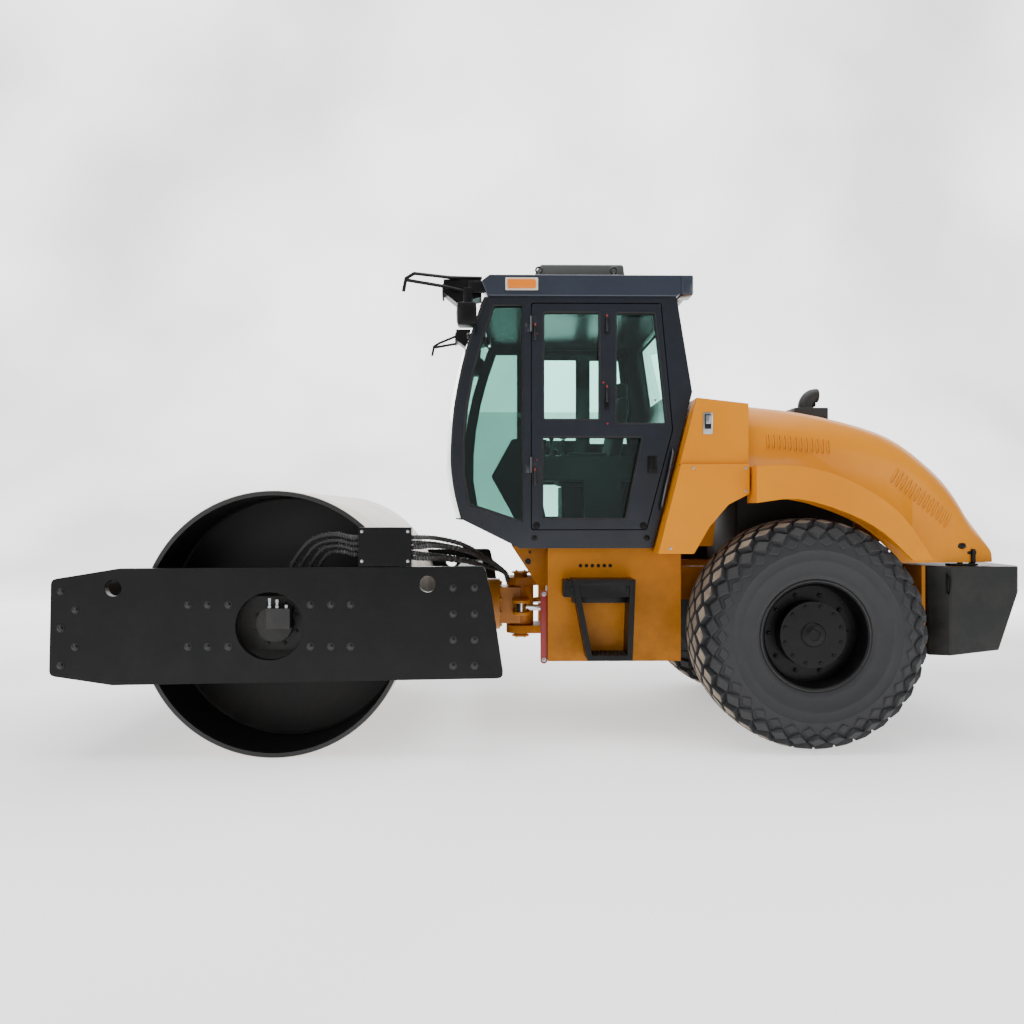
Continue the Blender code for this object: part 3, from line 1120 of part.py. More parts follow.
def cab_side(word, side):
    """The side's frame: pillars, sill and header round the quarter window and the doorway."""
    outline = pillar_points(PILLAR_LOW_SHARE, 1, PILLAR_SPANS, 0)
    outline += cab_points(((CAB_REAR_TOP_SHARE, 1), (1, CAB_KNEE_SHARE), (CAB_FOOT_SHARE, 0), (CAB_FOOT_FRONT_SHARE, 0)))
    low, high = y_span(side, CAB_HALF - CAB_WALL, CAB_HALF)
    doorway = rounded(cab_points(DOOR_SHARES), DOOR_CORNER)
    frame = prism("cab_side_" + word, outline, low, high, CAB_PAINT, "Y", [quarter_outline(), doorway])
    for share in DOOR_HINGE_SHARES:
        hinge_knuckle(frame, side, share, SEAT_GAP, -1)
    (top_x, top_z), (low_x, low_z) = cab_points(RAIL_SHARES)
    out = side * (CAB_HALF + RAIL_STAND_OFF)
    root = side * (CAB_HALF - RAIL_RADIUS)
    bend = RAIL_RADIUS * 2
    path = [(top_x, root, top_z), (top_x, out - side * bend, top_z), (top_x, out, top_z - bend),
            (low_x, out, low_z + bend), (low_x, out - side * bend, low_z), (low_x, root, low_z)]
    return joined(frame, tube("grab_rail", path, RAIL_RADIUS, BLACK, 2))


def quarter_glass(word, side):
    middle = CAB_HALF - CAB_WALL / 3
    low, high = y_span(side, middle - PANE / 2, middle + PANE / 2)
    return prism("quarter_glass_" + word, inset(quarter_outline(), SEAT_GAP), low, high, GLASS)


def door(word, side, hinge):
    """The door's frame with its three windows, as thick as the whole door, and its hinge halves."""
    outline = rounded(inset(cab_points(DOOR_SHARES), RUNNING_GAP), DOOR_CORNER)
    windows = [rounded(cab_points(shares), WINDOW_CORNER) for shares in DOOR_WINDOW_SHARES]
    low, high = y_span(side, CAB_HALF - DOOR_THICKNESS, CAB_HALF)
    panel = prism("door_" + word, outline, low, high, CAB_PAINT, "Y", windows)
    for share in DOOR_HINGE_SHARES:
        hinge_knuckle(panel, side, share, DOOR_HINGE_HEIGHT + SEAT_GAP, 1)
    return carried(panel, hinge)


def door_glass(word, side, hinge):
    """One pane bonded to the door's inner face behind all three windows."""
    outline = inset(cab_points(DOOR_SHARES), WINDOW_CORNER * 2)
    inner = CAB_HALF - DOOR_THICKNESS - SEAT_GAP
    return carried(prism("door_glass_" + word, outline, *y_span(side, inner - PANE, inner), GLASS), hinge)


def cab_floor():
    """The floor with the sloping toe plate that rises to the windscreen's foot."""
    low_points = cab_points(((CAB_FOOT_SHARE, 0), (CAB_FOOT_FRONT_SHARE, 0)))
    toe = (pillar_x(PILLAR_LOW_SHARE), CAB_BASE_Z + PILLAR_LOW_SHARE * CAB_HEIGHT)
    floor_z = CAB_BASE_Z + FLOOR_THICKNESS
    inner_toe = (toe[0] + FLOOR_THICKNESS, toe[1] + FLOOR_THICKNESS / 4)
    outline = [(cab_rear_x(CAB_BASE_Z) - REAR_WALL * 0.5, CAB_BASE_Z), low_points[1], toe, inner_toe,
               (low_points[1][0] + FLOOR_THICKNESS / 2, floor_z), (cab_rear_x(floor_z) - REAR_WALL * 0.5, floor_z)]
    half = CAB_HALF - CAB_WALL - SEAT_GAP
    return prism("cab_floor", outline, -half, half, CAB_PAINT)


def rear_line(share):
    """X of the cab's rear face at a share of its height, above and below the knee."""
    if share <= CAB_KNEE_SHARE:
        return cab_rear_x(CAB_BASE_Z + share * CAB_HEIGHT)
    rise = (share - CAB_KNEE_SHARE) / (1 - CAB_KNEE_SHARE)
    return CAB_X + CAB_LENGTH * (1 - (1 - CAB_REAR_TOP_SHARE) * rise)


def cab_rear():
    """The rear wall, bent at the knee, with its window cut in the upper half."""
    floor_share = (FLOOR_THICKNESS + SEAT_GAP) / CAB_HEIGHT
    shares = (floor_share, CAB_KNEE_SHARE, 1)
    outer = [(rear_line(share), CAB_BASE_Z + share * CAB_HEIGHT) for share in shares]
    inner = [(x - REAR_WALL, z) for x, z in outer]
    half = CAB_HALF - CAB_WALL - SEAT_GAP
    wall = prism("cab_rear", outer + inner[::-1], -half, half, CAB_PAINT)
    return cut(wall, rear_window("rear_window", 0, OVERRUN))


def rear_window(name, margin, depth):
    """The rear window's block, along the slope of the wall's upper half."""
    low, high = REAR_WINDOW_SHARES
    middle = -REAR_WALL / 2
    points = []
    for share, inset_z in ((low, margin), (high, -margin)):
        points.append((rear_line(share) + middle, CAB_BASE_Z + share * CAB_HEIGHT + inset_z))
    outline = [(points[0][0] - depth, points[0][1]), (points[0][0] + depth, points[0][1]),
               (points[1][0] + depth, points[1][1]), (points[1][0] - depth, points[1][1])]
    return prism(name, outline, margin - REAR_WINDOW_HALF, REAR_WINDOW_HALF - margin, GLASS)


ROOF_THICKNESS = 0.135
ROOF_HALF = 0.83
ROOF_FRONT = 0.03
ROOF_REAR = 0.098
ROOF_SHARES = ((0.03, 0), (0.925, 0), (0.94, 0.12), (0.985, 0.12), (1, 0.95), (0.985, 1), (0.04, 1), (0, 0.7))


def cab_roof():
    front = pillar_x(1) - ROOF_FRONT
    length = CAB_X + CAB_LENGTH * CAB_REAR_TOP_SHARE + ROOF_REAR - front
    outline = spread(ROOF_SHARES, front, length, CAB_TOP_Z + SEAT_GAP, ROOF_THICKNESS)
    return prism("cab_roof", outline, -ROOF_HALF, ROOF_HALF, CAB_PAINT)


AC_X = (0.572, 1.152)
AC_HALF = 0.45
AC_HEIGHT = 0.19
AC_SHARES = ((0, 0), (1, 0), (1, 0.35), (0.96, 1), (0.14, 1), (0.03, 0.35))


def ac_unit():
    base = CAB_TOP_Z + 2 * SEAT_GAP + ROOF_THICKNESS
    outline = spread(AC_SHARES, CAB_X + AC_X[0], AC_X[1] - AC_X[0], base, AC_HEIGHT)
    return prism("ac_unit", outline, -AC_HALF, AC_HALF, CAB_PAINT)


def windscreen():
    """The curved front pane, bulging ahead of the two pillars."""
    model = bmesh.new()
    rows = []
    columns = 8
    for level in range(PILLAR_SPANS + 1):
        share = PILLAR_LOW_SHARE + (1 - PILLAR_LOW_SHARE) * level / PILLAR_SPANS
        row = []
        for column in range(columns + 1):
            across = 2 * column / columns - 1
            x = pillar_x(share) - SEAT_GAP * 2 - WINDSCREEN_BULGE * (1 - across ** 2)
            row.append(model.verts.new((x, across * CAB_HALF, CAB_BASE_Z + share * CAB_HEIGHT)))
        rows.append(row)
    for row, following in zip(rows, rows[1:]):
        for a, b, c, d in zip(row, row[1:], following[1:], following):
            model.faces.new((a, d, c, b))
    mesh = bpy.data.meshes.new("windscreen")
    model.to_mesh(mesh)
    model.free()
    pane = placed("windscreen", mesh, GLASS)
    skin = pane.modifiers.new("pane", "SOLIDIFY")
    skin.thickness = PANE
    skin.offset = 1
    return pane


# Inside the cab
SEAT_X = 0.92
SEAT_HALF = 0.25
SEAT_BASE_HEIGHT = 0.36
CUSHION_LENGTH = 0.46
CUSHION_HEIGHT = 0.13
BACK_HEIGHT = 0.62
BACK_THICKNESS = 0.11
BACK_LEAN = 0.10
CONSOLE_Y = (0.29, 0.45)
CONSOLE_LENGTH = 0.62
CONSOLE_HEIGHT = 0.56
LEVER_HEIGHT = 0.16
LEVER_RADIUS = 0.009
KNOB_RADIUS = 0.022


def floor_top():
    return CAB_BASE_Z + FLOOR_THICKNESS + SEAT_GAP


def seat_base():
    """The seat's pedestal with a console on its right and the drive lever."""
    middle = CAB_X + SEAT_X
    base = block("seat_base", (middle - CUSHION_LENGTH / 2 + OVERRUN, -SEAT_HALF * 0.8, floor_top()),
                 (middle + CUSHION_LENGTH / 2, SEAT_HALF * 0.8, floor_top() + SEAT_BASE_HEIGHT), PLASTIC)
    for side in (-1, 1):
        low, high = y_span(side, *CONSOLE_Y)
        top = floor_top() + CONSOLE_HEIGHT
        arm = block("console", (middle - CONSOLE_LENGTH * 0.55, low, top - CONSOLE_HEIGHT * 0.3),
                    (middle + CONSOLE_LENGTH * 0.45, high, top), PLASTIC)
        post = block("console_post", (middle - OVERRUN, low, floor_top()),
                     (middle + CUSHION_LENGTH / 2 - OVERRUN / 2, high, top - OVERRUN), PLASTIC)
        inner = y_span(side, SEAT_HALF * 0.6, CONSOLE_Y[0] + OVERRUN)
        bridge = block("console_bridge", (middle - OVERRUN / 2, inner[0], floor_top() + OVERRUN),
                       (middle + OVERRUN, inner[1], floor_top() + SEAT_BASE_HEIGHT / 2), PLASTIC)
        joined(base, bridge, post, arm)
    lever_x, lever_y = middle - CONSOLE_LENGTH * 0.45, sum(CONSOLE_Y) / 2
    top = floor_top() + CONSOLE_HEIGHT
    joined(base, rod("lever", (lever_x, lever_y, top - OVERRUN), (lever_x, lever_y, top + LEVER_HEIGHT),
                     LEVER_RADIUS, CHROME, 12))
    joined(base, rod("knob", (lever_x, lever_y, top + LEVER_HEIGHT - KNOB_RADIUS),
                     (lever_x, lever_y, top + LEVER_HEIGHT + KNOB_RADIUS), KNOB_RADIUS, PLASTIC, 12))
    return base


def seat_cushion():
    middle = CAB_X + SEAT_X
    low = floor_top() + SEAT_BASE_HEIGHT + SEAT_GAP
    return block("seat_cushion", (middle - CUSHION_LENGTH / 2, -SEAT_HALF, low),
                 (middle + CUSHION_LENGTH / 2, SEAT_HALF, low + CUSHION_HEIGHT), FABRIC, 0.03)


def seat_back():
    front = CAB_X + SEAT_X + CUSHION_LENGTH / 2 - BACK_THICKNESS
    low = floor_top() + SEAT_BASE_HEIGHT + CUSHION_HEIGHT + 2 * SEAT_GAP
    outline = [(front, low), (front + BACK_THICKNESS, low), (front + BACK_THICKNESS + BACK_LEAN, low + BACK_HEIGHT),
               (front + BACK_LEAN, low + BACK_HEIGHT)]
    return prism("seat_back", rounded(outline, BACK_THICKNESS / 4), -SEAT_HALF, SEAT_HALF, FABRIC)


COLUMN_X = 0.17
COLUMN_HALF = 0.15
COLUMN_SHARES = ((0.56, 0), (1, 0), (0.80, 0.55), (0.92, 1), (0.35, 1), (0, 0.62), (0.30, 0.30))
COLUMN_LENGTH = 0.42
COLUMN_HEIGHT = 0.70
WHEEL_RADIUS = 0.19
WHEEL_TILT = 0.45
GRIP_RADIUS = 0.014
GRIP_SIDES = 24


def steering_console():
    """The dash on its column, with the steering wheel on a tilted shaft."""
    outline = spread(COLUMN_SHARES, CAB_X + COLUMN_X + PILLAR_WIDTH, COLUMN_LENGTH, floor_top(), COLUMN_HEIGHT)
    console = prism("steering_console", rounded(outline, 0.02), -COLUMN_HALF, COLUMN_HALF, PLASTIC)
    top = Vector((CAB_X + COLUMN_X + PILLAR_WIDTH + COLUMN_LENGTH * 0.75, 0, floor_top() + COLUMN_HEIGHT))
    lean = Vector((math.sin(WHEEL_TILT), 0, math.cos(WHEEL_TILT)))
    centre = top + lean * 0.12
    joined(console, rod("shaft", top - lean * 0.08, centre, 0.022, PLASTIC, 16))
    across = Vector((0, 1, 0))
    ahead = lean.cross(across)
    ring = []
    for index in range(GRIP_SIDES):
        turn = math.tau * index / GRIP_SIDES
        ring.append(centre + (across * math.cos(turn) + ahead * math.sin(turn)) * WHEEL_RADIUS)
    joined(console, ring_tube("grip", ring, GRIP_RADIUS, PLASTIC))
    for turn in (0.0, math.tau / 3, 2 * math.tau / 3):
        end = centre + (across * math.cos(turn) + ahead * math.sin(turn)) * WHEEL_RADIUS
        joined(console, rod("spoke", centre - (end - centre) * 0.05, end, GRIP_RADIUS * 0.7, PLASTIC, 8))
    return console


def ring_tube(name, points, radius, paint):
    """A closed round tube through a ring of points."""
    path = bpy.data.curves.new(name, "CURVE")
    path.dimensions = "3D"
    path.bevel_depth = radius
    path.bevel_resolution = 1
    spline = path.splines.new("POLY")
    spline.points.add(len(points) - 1)
    for point, place in zip(spline.points, points):
        point.co = (*place, 1)
    spline.use_cyclic_u = True
    path.materials.append(paint)
    piece = bpy.data.objects.new(name, path)
    PARTS.objects.link(piece)
    return solid_curve(piece)


# Work lamps and mirror arms at the front corners of the roof
LAMP_Y = 0.70
LAMP_SHARES = ((0, 0.45), (0.35, 0), (1, 0.25), (1, 1), (0, 1))
LAMP_LENGTH = 0.24
LAMP_HEIGHT = 0.15
LAMP_HALF = 0.07
ARM_TUBE = 0.011
ARM_PATH = ((0.30, 0.70, 0.08), (0.10, 0.80, 0.055), (-0.10, 1.0, 0.02), (-0.15, 1.0, -0.01), (-0.165, 1.0, -0.09))
ARM_BRACE = ((0.24, 0.72, -0.02), (0.05, 0.86, -0.015), (-0.148, 1.0, -0.02))


def lamp_bracket(word, side):
    """A work lamp under the roof's front corner with the bent mirror arm above it."""
    front = pillar_x(1) - ROOF_FRONT - SEAT_GAP
    base_z = CAB_TOP_Z + ROOF_THICKNESS / 2
    outline = spread(LAMP_SHARES, front - LAMP_LENGTH, LAMP_LENGTH, base_z - LAMP_HEIGHT * 0.65, LAMP_HEIGHT)
    low, high = y_span(side, LAMP_Y - LAMP_HALF, LAMP_Y + LAMP_HALF)
    lamp = prism("lamp_bracket_" + word, outline, low, high, BLACK)
    for name, path, paint in (("mirror_arm", ARM_PATH, BLACK), ("arm_brace", ARM_BRACE, BLACK)):
        points = [(front - 0.30 + x, side * y, base_z + z) for x, y, z in path]
        joined(lamp, tube(name, points, ARM_TUBE, paint, 2))
    return lamp


# Hoses: one bundle from the cover into the drum, two lengths over the joint
HOSE_RADIUS = 0.014
HOSE_PITCH = 0.036
HOSE_SPANS = 3
HOSE_END_GAP = 0.0008
CLAMP_RADIUS = 0.018
CLAMP_INSET = 0.024
# (along, across, up) from where the bundle leaves the cover
DRUM_HOSE_ROUTE = ((0, 0, 0.01), (-0.05, 0, 0.01), (-0.16, 0.01, 0.03), (-0.30, 0.05, 0.0), (-0.40, 0.08, -0.11),
                   (-0.44, 0.08, -0.21), (-0.455, 0.08, -0.31))
FRONT_HOSE_ROUTE = ((0, 0, 0), (0.05, 0, 0), (0.13, 0.04, -0.002), (0.26, 0.275, -0.04), (0.42, 0.595, -0.09),
                    (0.51, 0.855, -0.105), (0.57, 0.955, -0.165))


def hose_bundle(name, path, spread_axis, count):
    """Hoses side by side along one route, held together by a clamp at both ends."""
    smoothed = [path[0]] + smooth(path[1:], HOSE_SPANS)
    shift = Vector(spread_axis)
    bundle = None
    for index in range(count):
        offset = shift * (index - (count - 1) / 2) * HOSE_PITCH
        hose = tube("hose", [tuple(Vector(p) + offset) for p in smoothed], HOSE_RADIUS, RUBBER, 1)
        bundle = hose if bundle is None else joined(bundle, hose)
    bundle.name = name
    reach = shift * (HOSE_PITCH * (count - 1) / 2 + CLAMP_RADIUS)
    for place, towards in ((smoothed[0], smoothed[1]), (smoothed[-1], smoothed[-2])):
        middle = Vector(place) + (Vector(towards) - Vector(place)).normalized() * CLAMP_INSET
        joined(bundle, rod("clamp", middle - reach, middle + reach, CLAMP_RADIUS, BLACK, 10))
    return carried(bundle, OSCILLATION)


def hoses():
    middle_y = -(HOSE_BOX_INNER + FRAME_WIDTH / 2) / 2
    base = (PLATE_BASE_Z + PLATE_HEIGHT + HOSE_BOX_TOP_Z) / 2
    face = DRUM_X + HOSE_BOX_X[0] - HOSE_END_GAP
    routes = {"drum": [(face + along, middle_y + across, base + up) for along, across, up in DRUM_HOSE_ROUTE]}
    face = DRUM_X + HOSE_BOX_X[1] + HOSE_END_GAP
    routes["front"] = [(face + along, middle_y + across, base + up) for along, across, up in FRONT_HOSE_ROUTE]
    hose_bundle("hoses_drum", routes["drum"], (0, 0, 1), 1)
    hose_bundle("hoses_front", routes["front"], (0, 0, 1), 3)


def build():
    for word, side in SIDES:
        frame_plate(word, side)
        drum_mount(word, side)
        steering_cylinder(word, side)
        step(word, side)
        lower_panel(word, side)
        cab_side(word, side)
        quarter_glass(word, side)
        lamp_bracket(word, side)
        door_hinge = joint_empty("door_hinge_" + word, (DOOR_FRONT_X, side * (CAB_HALF + DOOR_HINGE_LIFT), CAB_BASE_Z))
        door(word, side, door_hinge)
        door_glass(word, side, door_hinge)
        wheel_axis = joint_empty("wheel_axis_" + word, (AXLE_X, side * WHEEL_TRACK / 2, WHEEL_AXIS_Z))
        tyre(word, side, wheel_axis)
        wheel(word, side, wheel_axis)
    front_beam()
    rear_beam()
    hose_box()
    drum_shell()
    drum_core()
    yoke()
    chassis()
    lock_bar()
    rear_axle()
    counterweight()
    engine_block()
    housing = upper_housing()
    hood_axis = joint_empty("hood_hinge_axis", (HOOD_X, 0, HINGE_Z))
    shell = hood(hood_axis)
    hood_hinge(housing, shell)
    rear_grille(hood_axis)
    exhaust(hood_axis)
    cab_floor()
    cab_rear()
    rear_window("rear_glass", SEAT_GAP, PANE / 2)
    cab_roof()
    ac_unit()
    windscreen()
    seat_base()
    seat_cushion()
    seat_back()
    steering_console()
    hoses()


build()
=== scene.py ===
"""Dresses the road roller: finishes, fittings, tread, hoses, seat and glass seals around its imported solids."""
import json
import math

import bmesh
import bpy
from mathutils import Matrix, Vector
from mathutils.bvhtree import BVHTree


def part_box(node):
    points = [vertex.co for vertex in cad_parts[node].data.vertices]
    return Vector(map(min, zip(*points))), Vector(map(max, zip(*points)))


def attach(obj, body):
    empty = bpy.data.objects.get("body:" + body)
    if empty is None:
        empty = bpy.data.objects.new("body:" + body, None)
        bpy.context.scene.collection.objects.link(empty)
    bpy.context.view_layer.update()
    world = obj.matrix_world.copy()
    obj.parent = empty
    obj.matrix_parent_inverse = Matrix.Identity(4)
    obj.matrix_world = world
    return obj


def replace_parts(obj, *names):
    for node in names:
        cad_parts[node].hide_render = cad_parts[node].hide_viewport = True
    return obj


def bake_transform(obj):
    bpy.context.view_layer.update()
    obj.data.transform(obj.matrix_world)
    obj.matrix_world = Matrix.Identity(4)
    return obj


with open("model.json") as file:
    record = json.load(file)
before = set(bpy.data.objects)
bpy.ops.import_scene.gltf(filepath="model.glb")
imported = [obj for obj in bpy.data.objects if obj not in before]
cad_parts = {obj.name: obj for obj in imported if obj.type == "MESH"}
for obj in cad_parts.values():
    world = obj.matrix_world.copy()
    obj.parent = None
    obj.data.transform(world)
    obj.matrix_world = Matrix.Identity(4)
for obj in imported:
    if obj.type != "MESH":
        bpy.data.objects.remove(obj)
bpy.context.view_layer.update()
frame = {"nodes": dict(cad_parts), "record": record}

# Camera: a level view of the machine's left side from close by, at the height of a standing eye. Its
# place and lens are those that fit both ends of the drum in the picture.
LENS_LENGTH, SENSOR_WIDTH, SIGHT_RANGE = 28.125, 36, 200
CAMERA_SPOT, CAMERA_YAW = (-0.318, -5.860, 1.470), -0.0127
camera_data = bpy.data.cameras.new("side_view")
camera_data.lens = LENS_LENGTH
camera_data.sensor_width = SENSOR_WIDTH
camera_data.clip_end = SIGHT_RANGE
camera = bpy.data.objects.new("side_view", camera_data)
camera.location = CAMERA_SPOT
camera.rotation_euler = (math.pi / 2, 0, CAMERA_YAW)
bpy.context.scene.collection.objects.link(camera)
bpy.context.scene.camera = camera


# Floor and light: a pale, unevenly toned studio floor that curves up into its wall and glows softly,
# the wall more than the floor. Four soft lights stand overhead, in front of each end and behind.
def linear(colour):
    """A hex colour in sRGB as linear red, green, blue and alpha."""
    values = [int(colour[start:start + 2], 16) / 255 for start in (1, 3, 5)]
    return [v / 12.92 if v <= 0.04045 else ((v + 0.055) / 1.055) ** 2.4 for v in values] + [1]


def add(tree, kind, settings=(), links=()):
    """Adds one node with its settings and the sockets that feed it."""
    node = tree.nodes.new(kind)
    for key, value in dict(settings).items():
        if isinstance(key, str) and hasattr(node, key):
            setattr(node, key, value)
        else:
            node.inputs[key].default_value = value
    for key, source in dict(links).items():
        tree.links.new(source, node.inputs[key])
    return node


def new_finish(name):
    """A new material with its node tree and its shader."""
    finish = bpy.data.materials.new(name)
    finish.use_nodes = True
    return finish, finish.node_tree, finish.node_tree.nodes["Principled BSDF"]


FLOOR_REACH, WALL_BACK, WALL_HEIGHT = 40.0, 16.0, 22.0
SWEEP_RADIUS, SWEEP_STEPS = 8.0, 8
FLOOR_GLOW, WALL_GLOW, GLOW_FROM, GLOW_TO = 1.05, 2.6, 1.5, 9.0
floor_finish, tree, shader = new_finish("studio_floor")
place = add(tree, "ShaderNodeTexCoord").outputs["Object"]
cloud = add(tree, "ShaderNodeTexNoise", {"Scale": 0.13, "Detail": 3.0, "Roughness": 0.45}, {"Vector": place})
spread = add(tree, "ShaderNodeMapRange", {"From Min": 0.36, "From Max": 0.62}, {"Value": cloud.outputs["Fac"]})
tone = add(tree, "ShaderNodeMix", {"data_type": "RGBA", 6: linear("#c9c9c9"), 7: linear("#f4f4f4")},
           {0: spread.outputs["Result"]})
tree.links.new(tone.outputs[2], shader.inputs["Base Color"])
tree.links.new(tone.outputs[2], shader.inputs["Emission Color"])
back = add(tree, "ShaderNodeSeparateXYZ", (), {0: place}).outputs["Y"]
glow = add(tree, "ShaderNodeMapRange",
           {"From Min": GLOW_FROM, "From Max": GLOW_TO, "To Min": FLOOR_GLOW, "To Max": WALL_GLOW}, {"Value": back})
tree.links.new(glow.outputs["Result"], shader.inputs["Emission Strength"])
shader.inputs["Roughness"].default_value = 0.75
shader.inputs["Specular IOR Level"].default_value = 0.25
shape = bmesh.new()
front = [shape.verts.new((x, -FLOOR_REACH, 0)) for x in (-FLOOR_REACH, FLOOR_REACH)]
edges = [shape.edges.new(front)]
sweep = [(WALL_BACK - SWEEP_RADIUS, 0)]
for step in range(1, SWEEP_STEPS + 1):
    turn = step * math.pi / 2 / SWEEP_STEPS
    sweep.append((WALL_BACK - SWEEP_RADIUS + SWEEP_RADIUS * math.sin(turn),
                  SWEEP_RADIUS - SWEEP_RADIUS * math.cos(turn)))
sweep.append((WALL_BACK, WALL_HEIGHT))
last = (-FLOOR_REACH, 0)
for y, z in sweep:
    made = bmesh.ops.extrude_edge_only(shape, edges=edges)["geom"]
    bmesh.ops.translate(shape, verts=[v for v in made if isinstance(v, bmesh.types.BMVert)],
                        vec=(0, y - last[0], z - last[1]))
    edges = [e for e in made if isinstance(e, bmesh.types.BMEdge)]
    last = (y, z)
floor_mesh = bpy.data.meshes.new("studio_floor")
shape.to_mesh(floor_mesh)
shape.free()
floor_mesh.materials.append(floor_finish)
floor_mesh.shade_smooth()
floor = bpy.data.objects.new("studio_floor", floor_mesh)
bpy.context.scene.collection.objects.link(floor)

SKY_COLOUR, SKY_STRENGTH = "#f2f4f6", 0.50
world = bpy.data.worlds.new("studio")
world.use_nodes = True
world.node_tree.nodes["Background"].inputs["Color"].default_value = linear(SKY_COLOUR)
world.node_tree.nodes["Background"].inputs["Strength"].default_value = SKY_STRENGTH
bpy.context.scene.world = world
AIM = Vector((0, 0, 1.0))
# Lights: name, place, width and height, power in watts
LIGHTS = (("overhead", (0.0, -0.5, 7.5), (9.0, 7.0), 780), ("front_left", (-5.5, -7.0, 4.0), (4.0, 4.0), 190),
          ("front_right", (6.5, -6.5, 3.5), (4.0, 3.0), 120), ("behind", (0.0, 7.0, 4.5), (9.0, 3.0), 160))
for name, spot, size, power in LIGHTS:
    light_data = bpy.data.lights.new(name, "AREA")
    light_data.shape = "RECTANGLE"
    light_data.size, light_data.size_y = size
    light_data.energy = power
    light = bpy.data.objects.new(name, light_data)
    light.location = spot
    light.rotation_euler = (AIM - Vector(spot)).to_track_quat("-Z", "Y").to_euler()
    bpy.context.scene.collection.objects.link(light)


# Front frame: two flame-cut side plates 50 mm thick with welded cross beams, sprayed satin black and
# held by rows of round-headed bolts. Dust lies thicker low down.
NODES = frame["nodes"]
BODY = {node: body for body, nodes in frame["record"]["behaviour"]["bodies"].items() for node in nodes}
SIDES = (("left", -1), ("right", 1))


def coated(name, main, faded, film_colour, rough, film_top, film_most, metallic=0.0, patch=0.6, peel=0.0025, gloss=0.5):
    """A sprayed, moulded or cast surface: patches of a faded tone about patch metres wide, a film of settled dirt
    in its own colour that thins out upwards to a given height (on the golden yellows its dark brown is painted
    shade low down as well), and a fine orange peel or grain peel metres wide."""
    finish, tree, shader = new_finish(name)
    place = add(tree, "ShaderNodeTexCoord").outputs["Object"]
    patches = add(tree, "ShaderNodeTexNoise", {"Scale": 1 / patch, "Detail": 5.0, "Roughness": 0.6},
                  {"Vector": place})
    spread = add(tree, "ShaderNodeMapRange", {"From Min": 0.35, "From Max": 0.7}, {"Value": patches.outputs["Fac"]})
    tone = add(tree, "ShaderNodeMix", {"data_type": "RGBA", 6: linear(main), 7: linear(faded)},
               {0: spread.outputs["Result"]})
    height = add(tree, "ShaderNodeSeparateXYZ", (), {0: place}).outputs["Z"]
    low = add(tree, "ShaderNodeMapRange",
              {"From Min": 0.0, "From Max": film_top, "To Min": film_most, "To Max": 0.02}, {"Value": height})
    speck = add(tree, "ShaderNodeTexNoise", {"Scale": 5.0, "Detail": 9.0, "Roughness": 0.72}, {"Vector": place})
    fleck = add(tree, "ShaderNodeMapRange", {"From Min": 0.42, "From Max": 0.66}, {"Value": speck.outputs["Fac"]})
    film = add(tree, "ShaderNodeMath", {"operation": "MULTIPLY"},
               {0: low.outputs["Result"], 1: fleck.outputs["Result"]})
    dusty = add(tree, "ShaderNodeMix", {"data_type": "RGBA", 7: linear(film_colour)},
                {0: film.outputs[0], 6: tone.outputs[2]})
    tree.links.new(dusty.outputs[2], shader.inputs["Base Color"])
    matt = add(tree, "ShaderNodeMapRange", {"To Min": rough, "To Max": 0.9}, {"Value": film.outputs[0]})
    tree.links.new(matt.outputs["Result"], shader.inputs["Roughness"])
    grain = add(tree, "ShaderNodeTexNoise", {"Scale": 1 / peel, "Detail": 1.0}, {"Vector": place})
    bump = add(tree, "ShaderNodeBump", {"Strength": 0.12, "Distance": 0.0006}, {"Height": grain.outputs["Fac"]})
    tree.links.new(bump.outputs["Normal"], shader.inputs["Normal"])
    shader.inputs["Metallic"].default_value = metallic
    shader.inputs["Specular IOR Level"].default_value = gloss
    return finish


def dressed(name, mesh, finish, body, sharp):
    """Makes a mesh a piece on a body, smooth where its faces meet at less than sharp degrees."""
    mesh.materials.clear()
    mesh.materials.append(finish)
    mesh.shade_smooth()
    mesh.set_sharp_from_angle(angle=math.radians(sharp))
    piece = bpy.data.objects.new(name, mesh)
    bpy.context.scene.collection.objects.link(piece)
    if body:
        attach(piece, body)
    return piece


def finished(name, shape, finish, body, sharp=35):
    """Turns a bmesh into a piece."""
    mesh = bpy.data.meshes.new(name)
    shape.to_mesh(mesh)
    shape.free()
    return dressed(name, mesh, finish, body, sharp)


def clad(node, finish, edge=0.0, sharp=35):
    """The node's own shape, welded, its corners slightly rounded as a press or a grinder leaves them."""
    shape = bmesh.new()
    shape.from_mesh(NODES[node].data)
    bmesh.ops.remove_doubles(shape, verts=shape.verts, dist=0.00002)
    bmesh.ops.dissolve_limit(shape, angle_limit=math.radians(0.6), verts=shape.verts, edges=shape.edges)
    piece = finished(node + "_skin", shape, finish, BODY[node], sharp)
    if edge:
        corner = piece.modifiers.new("corner", "BEVEL")
        corner.width = edge
        corner.segments = 2
        corner.limit_method = "ANGLE"
        corner.angle_limit = math.radians(38)
        corner.harden_normals = True
    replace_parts(piece, node)
    return piece


# A bolt's rings as shares of its radius and height: lower radius, upper radius, base, height
BOLT_RINGS = ((1.45, 1.4, 0.0, 0.22), (1.0, 0.94, 0.22, 0.5), (0.94, 0.55, 0.72, 0.28))


def stud(shape, spot, facing, radius, height, sides=12):
    """A bolt: a low domed head on its washer."""
    turn = Matrix.Translation(spot) @ Vector(facing).to_track_quat("Z", "Y").to_matrix().to_4x4()
    for low, high, base, tall in BOLT_RINGS:
        rise = Matrix.Translation((0, 0, height * (base + tall / 2)))
        bmesh.ops.create_cone(shape, cap_ends=True, segments=sides, radius1=radius * low, radius2=radius * high,
                              depth=height * tall, matrix=turn @ rise)


